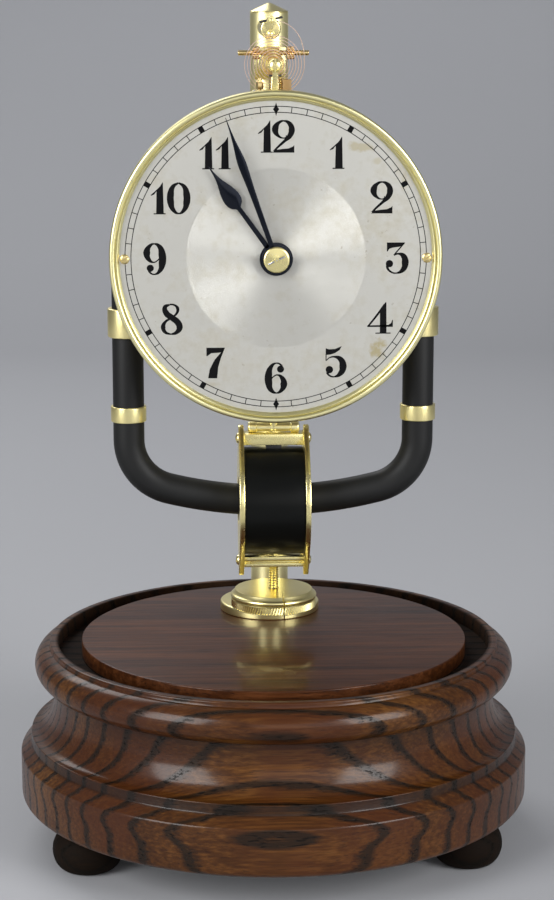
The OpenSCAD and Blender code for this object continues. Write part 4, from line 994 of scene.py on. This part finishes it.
# Coil, cage and bob
coil = {"r": 21.0, "half": 11.65, "bore": 9.0, "cheekR": 21.8, "lugR": 4.5, "lugZ": 25.5, "eyeR": 9.5,
        "screwX": 13.64, "screwZ": (158.75, 110.0), "spoolZ": 163.1, "rodLow": 87.5, "rodLong": 20.6,
        "holeR": 2.06, "bobR": 16.85, "bobTop": 98.5, "bobLow": 95.1, "nutR": 16.6, "nutTop": 95.0,
        "nutLow": 91.5, "teeth": 96, "slitTurn": -78}


def makeCoil():
    z, h, r = clock["coilZ"], coil["half"], coil["r"]
    skin = [(coil["bore"], -h), (r - 0.4, -h), (r - 0.05, -h + 0.35), (r - 0.05, -h + 1.2), (r, -h + 1.4)]
    skin += [(r, h - 1.4), (r - 0.05, h - 1.2), (r - 0.05, h - 0.35), (r - 0.4, h), (coil["bore"], h)]
    bm = bmesh.new()
    turned(bm, skin + skin[:1], 192, (0, 0, z), "X")
    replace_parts(keep(bm, "winding", "pendulum", "winding", 40), "coil_winding")

    cheekR, lugR, lugZ = coil["cheekR"], coil["lugR"], coil["lugZ"]
    lug = math.degrees(math.acos((cheekR - lugR) / lugZ))
    rim = arcPoints(lugZ, 0, lugR, lugR, -lug, lug, 24) + arcPoints(0, 0, cheekR, cheekR, lug, 180 - lug, 24)
    rim += arcPoints(-lugZ, 0, lugR, lugR, 180 - lug, 180 + lug, 24)
    rim += arcPoints(0, 0, cheekR, cheekR, 180 + lug, 360 - lug, 24)
    for word, side in sides.items():
        bm = bmesh.new()
        plate(bm, [(side * h, u, z + v) for v, u in rim], (side * 2, 0, 0))
        cheek = keep(bm, "cheek_" + word, "pendulum", "brass", 40, 0.3)
        eye = bmesh.new()
        bar(eye, (side * (h - 1), 0, z), (side * (h + 3), 0, z), coil["eyeR"], 96)
        cut(cheek, eye)
        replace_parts(cheek, "coil_cheek_" + word)
    for node in ("coil_top_bar", "coil_bottom_bar"):
        dressed(node, "pendulum", "brass", 0.25)
    spool = [(-10, 0)] + arcPoints(-9.2, 1.3, 0.8, 0.8, 180, 90, 6)
    spool += [(-6.9, 2.1), (-6.5, 1.75), (6.5, 1.75), (6.9, 2.1)]
    spool += arcPoints(9.2, 1.3, 0.8, 0.8, 90, 0, 6) + [(10, 0)]
    bm = bmesh.new()
    turned(bm, [(r, x) for x, r in spool], 64, (0, 0, coil["spoolZ"]), "X")
    bar(bm, (0, 0, coil["spoolZ"]), (0, 0, coil["spoolZ"] + 4.6), 1.7, 48)
    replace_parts(keep(bm, "spool_block", "pendulum", "column", 35), "coil_block")
    dressed("ebonite_block", "pendulum", "ebonite", 0.15)
    dressed("pendulum_rod", "pendulum", "brass", 0.1)
    bm = bmesh.new()
    for side in (-1, 1):
        for screwZ in coil["screwZ"]:
            spot = (side * coil["screwX"], 0, screwZ)
            slottedHead(bm, spot, 2.1, 1.2, 0.45, 0.6 + side * 0.5, side * quarter)
    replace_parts(keep(bm, "cage_screw_heads", "pendulum", "brass", 30), "cage_screws")


def makeBob():
    low, high, r, hole = coil["bobLow"], coil["bobTop"], coil["bobR"], coil["holeR"]
    bm = bmesh.new()
    threaded(bm, (0, 0, coil["rodLow"]), coil["rodLong"], 2.0, 1.0, 0.38)
    bar(bm, (0, 0, 108), (0, 0, 111.9), 1.9, 24)
    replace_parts(keep(bm, "rating_screw", "pendulum", "brass", 50), "rating_rod")

    disc = [(hole, low), (r - 1, low)] + arcPoints(r - 1, low + 1, 1, 1, -80, 62, 14)
    disc += [(15.6, high - 1.0), (15.3, high - 0.25), (15.05, high), (hole, high), (hole, low)]
    bm = bmesh.new()
    turned(bm, disc, 192)
    made = keep(bm, "bob_disc", "bob", "turned", 30)
    cut(made, rimSlit(coil["slitTurn"], 14.3, 30, 0.6, 80, 105))
    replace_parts(made, "bob")

    low, high, r = coil["nutLow"], coil["nutTop"], coil["nutR"]
    bm = bmesh.new()
    knurled(bm, (0, 0, low + 0.45), r, high - low - 0.9, coil["teeth"], 0.34, lean=0.012)
    made = keep(bm, "knurled_nut", "rating_nut", "brass", 20)
    bm = bmesh.new()
    for a, b in ((low, low + 0.46), (high - 0.46, high)):
        lip = [(hole, a), (r - 0.35, a), (r, a + 0.2), (r, b - 0.2), (r - 0.15, b), (hole, b), (hole, a)]
        turned(bm, lip, 128)
    lips = keep(bm, "nut_lips", "rating_nut", "brass", 30)
    bore = bmesh.new()
    bar(bore, (0, 0, 80), (0, 0, 100), hole, 48)
    cut(made, bore, rimSlit(coil["slitTurn"], 14.3, 30, 0.6, 80, 105))
    cut(lips, rimSlit(coil["slitTurn"], 14.3, 30, 0.6, 80, 105))
    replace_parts(made, "rating_nut")


makeCoil()
makeBob()
print("coil and bob made")


# Movement behind the dial: for each finish its nodes, with their bodies and broken edges
behind = {
    "rawBrass": [("back_plate", "clock_frame", 0.25), ("front_plate", "clock_frame", 0.25)],
    "brass": [("plate_pillars", "clock_frame", 0.1), ("dial_feet", "clock_frame", 0.0),
              ("column_stud", "clock_frame", 0.2), ("column_nut", "clock_frame", 0.3),
              ("centre_arbor", "minute_arbor", 0.0), ("hour_wheel", "hour_pipe", 0.0),
              ("minute_wheel", "minute_wheel", 0.0), ("intermediate_wheel", "intermediate_wheel", 0.0),
              ("count_wheel", "count_arbor", 0.0)],
    "steel": [("motion_stud", "clock_frame", 0.0), ("cannon_pinion", "minute_arbor", 0.0),
              ("drive_pawl", "drive_pawl", 0.1), ("detent_click", "detent_click", 0.1)],
    "card": [("dry_cell", "clock_frame", 0.0)],
}
# plate screws: place, and how far the slot is turned
plateScrews = [((x, -19, z), x * 0.04 + z) for x in (-23, 23) for z in (212.0, 268.0)]
plateScrews += [((x, -8, 241.0), x * 0.1) for x in (-24, 24)]


def makeMovement():
    for surface, nodes in behind.items():
        for node, body, soften in nodes:
            dressed(node, body, surface, soften)
    bm = bmesh.new()
    for spot, turn in plateScrews:
        slottedHead(bm, spot, 2.2, 1.1, 0.45, turn)
    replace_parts(keep(bm, "plate_screw_heads", "clock_frame", "darkSteel", 30), "plate_screws")


makeMovement()
print("movement made")


# Floor sheet, lights and camera, in metres
room = {"floor": (0.43, 0.435, 0.455), "wall": (0.50, 0.51, 0.54), "cloud": (0.3, 0.3, 0.32), "half": 3.0,
        "bendY": 1.2, "bendR": 0.6, "high": 3.2, "sky": (0.62, 0.64, 0.68, 1.0), "skyStrength": 0.32}
# each lamp's place, the height that it faces, its width, height and power
lamps = {
    "left_box": ((-1.05, -0.92, 0.66), 0.17, 0.75, 0.95, 19.0),
    "right_box": ((1.0, -0.98, 0.62), 0.17, 0.7, 0.9, 16.0),
    "back_box": ((-0.5, 1.05, 1.15), 0.2, 0.9, 0.7, 8.0),
    "front_fill": ((0.6, -2.3, 0.75), 0.2, 2.4, 1.1, 8.5),
}
cameraAt = {"spot": (-0.03676, -0.87703, 0.3336), "pitch": 11.57, "yaw": 2.49, "lens": 92.16}


def makeRoom():
    paint = Paint("floor sheet", Roughness=0.85)
    height = paint.level(paint.apart(paint.place())[2], 0.0, 1.2)
    shade = paint.mix(height, room["floor"], room["wall"])
    paint.set(Base_Color=paint.mix(paint.noise(paint.place(), 3.0, 2.0) * 0.1, shade, room["cloud"]))
    # from behind or below the sheet is clear, so that it never hides the clock
    farSide = paint.node("NewGeometry", out=6)
    solid = Wave(paint, paint.shader.outputs[0])
    sheet = paint.node("MixShader", i0=farSide, i1=solid, i2=paint.node("BsdfTransparent"))
    paint.feed(paint.nodes["Material Output"].inputs["Surface"], sheet)

    half, bendY, bendR = room["half"], room["bendY"], room["bendR"]
    line = [(-half, 0.0), (bendY, 0.0)] + arcPoints(bendY, bendR, bendR, bendR, -80, 0, 8)
    line.append((bendY + bendR, room["high"]))
    bm = bmesh.new()
    points = [bm.verts.new((-half, y, z)) for y, z in line]
    edges = [bm.edges.new(pair) for pair in zip(points, points[1:])]
    made = bmesh.ops.extrude_edge_only(bm, edges=edges)["geom"]
    bmesh.ops.translate(bm, verts=vertsOf(made), vec=(2 * half, 0, 0))
    bmesh.ops.recalc_face_normals(bm, faces=bm.faces)
    if sum(face.normal.z for face in bm.faces) < 0:
        bmesh.ops.reverse_faces(bm, faces=bm.faces)
    mesh = bpy.data.meshes.new("sweep")
    bm.to_mesh(mesh)
    bm.free()
    mesh.polygons.foreach_set("use_smooth", [True] * len(mesh.polygons))
    mesh.materials.append(paint.material)
    placed("sweep", mesh)


def makeLight():
    world = bpy.data.worlds.new("studio")
    bpy.context.scene.world = world
    world.use_nodes = True
    sky = world.node_tree.nodes["Background"].inputs
    sky["Color"].default_value = room["sky"]
    sky["Strength"].default_value = room["skyStrength"]
    for name, (spot, aimZ, wide, tall, power) in lamps.items():
        data = bpy.data.lights.new(name, "AREA")
        data.shape = "RECTANGLE"
        data.size = wide
        data.size_y = tall
        data.energy = power
        lamp = placed(name, data)
        lamp.location = spot
        lamp.rotation_euler = (Vector((0, 0, aimZ)) - Vector(spot)).to_track_quat("-Z", "Y").to_euler()


def makeCamera():
    data = bpy.data.cameras.new("camera")
    data.sensor_fit = "VERTICAL"
    data.sensor_height = 36.0
    data.lens = cameraAt["lens"]
    data.dof.use_dof = False
    camera = placed("camera", data)
    camera.location = cameraAt["spot"]
    camera.rotation_euler = (math.radians(90 - cameraAt["pitch"]), 0.0, -math.radians(cameraAt["yaw"]))
    bpy.context.scene.camera = camera


makeRoom()
makeLight()
makeCamera()
bpy.context.scene.view_settings.view_transform = "Standard"
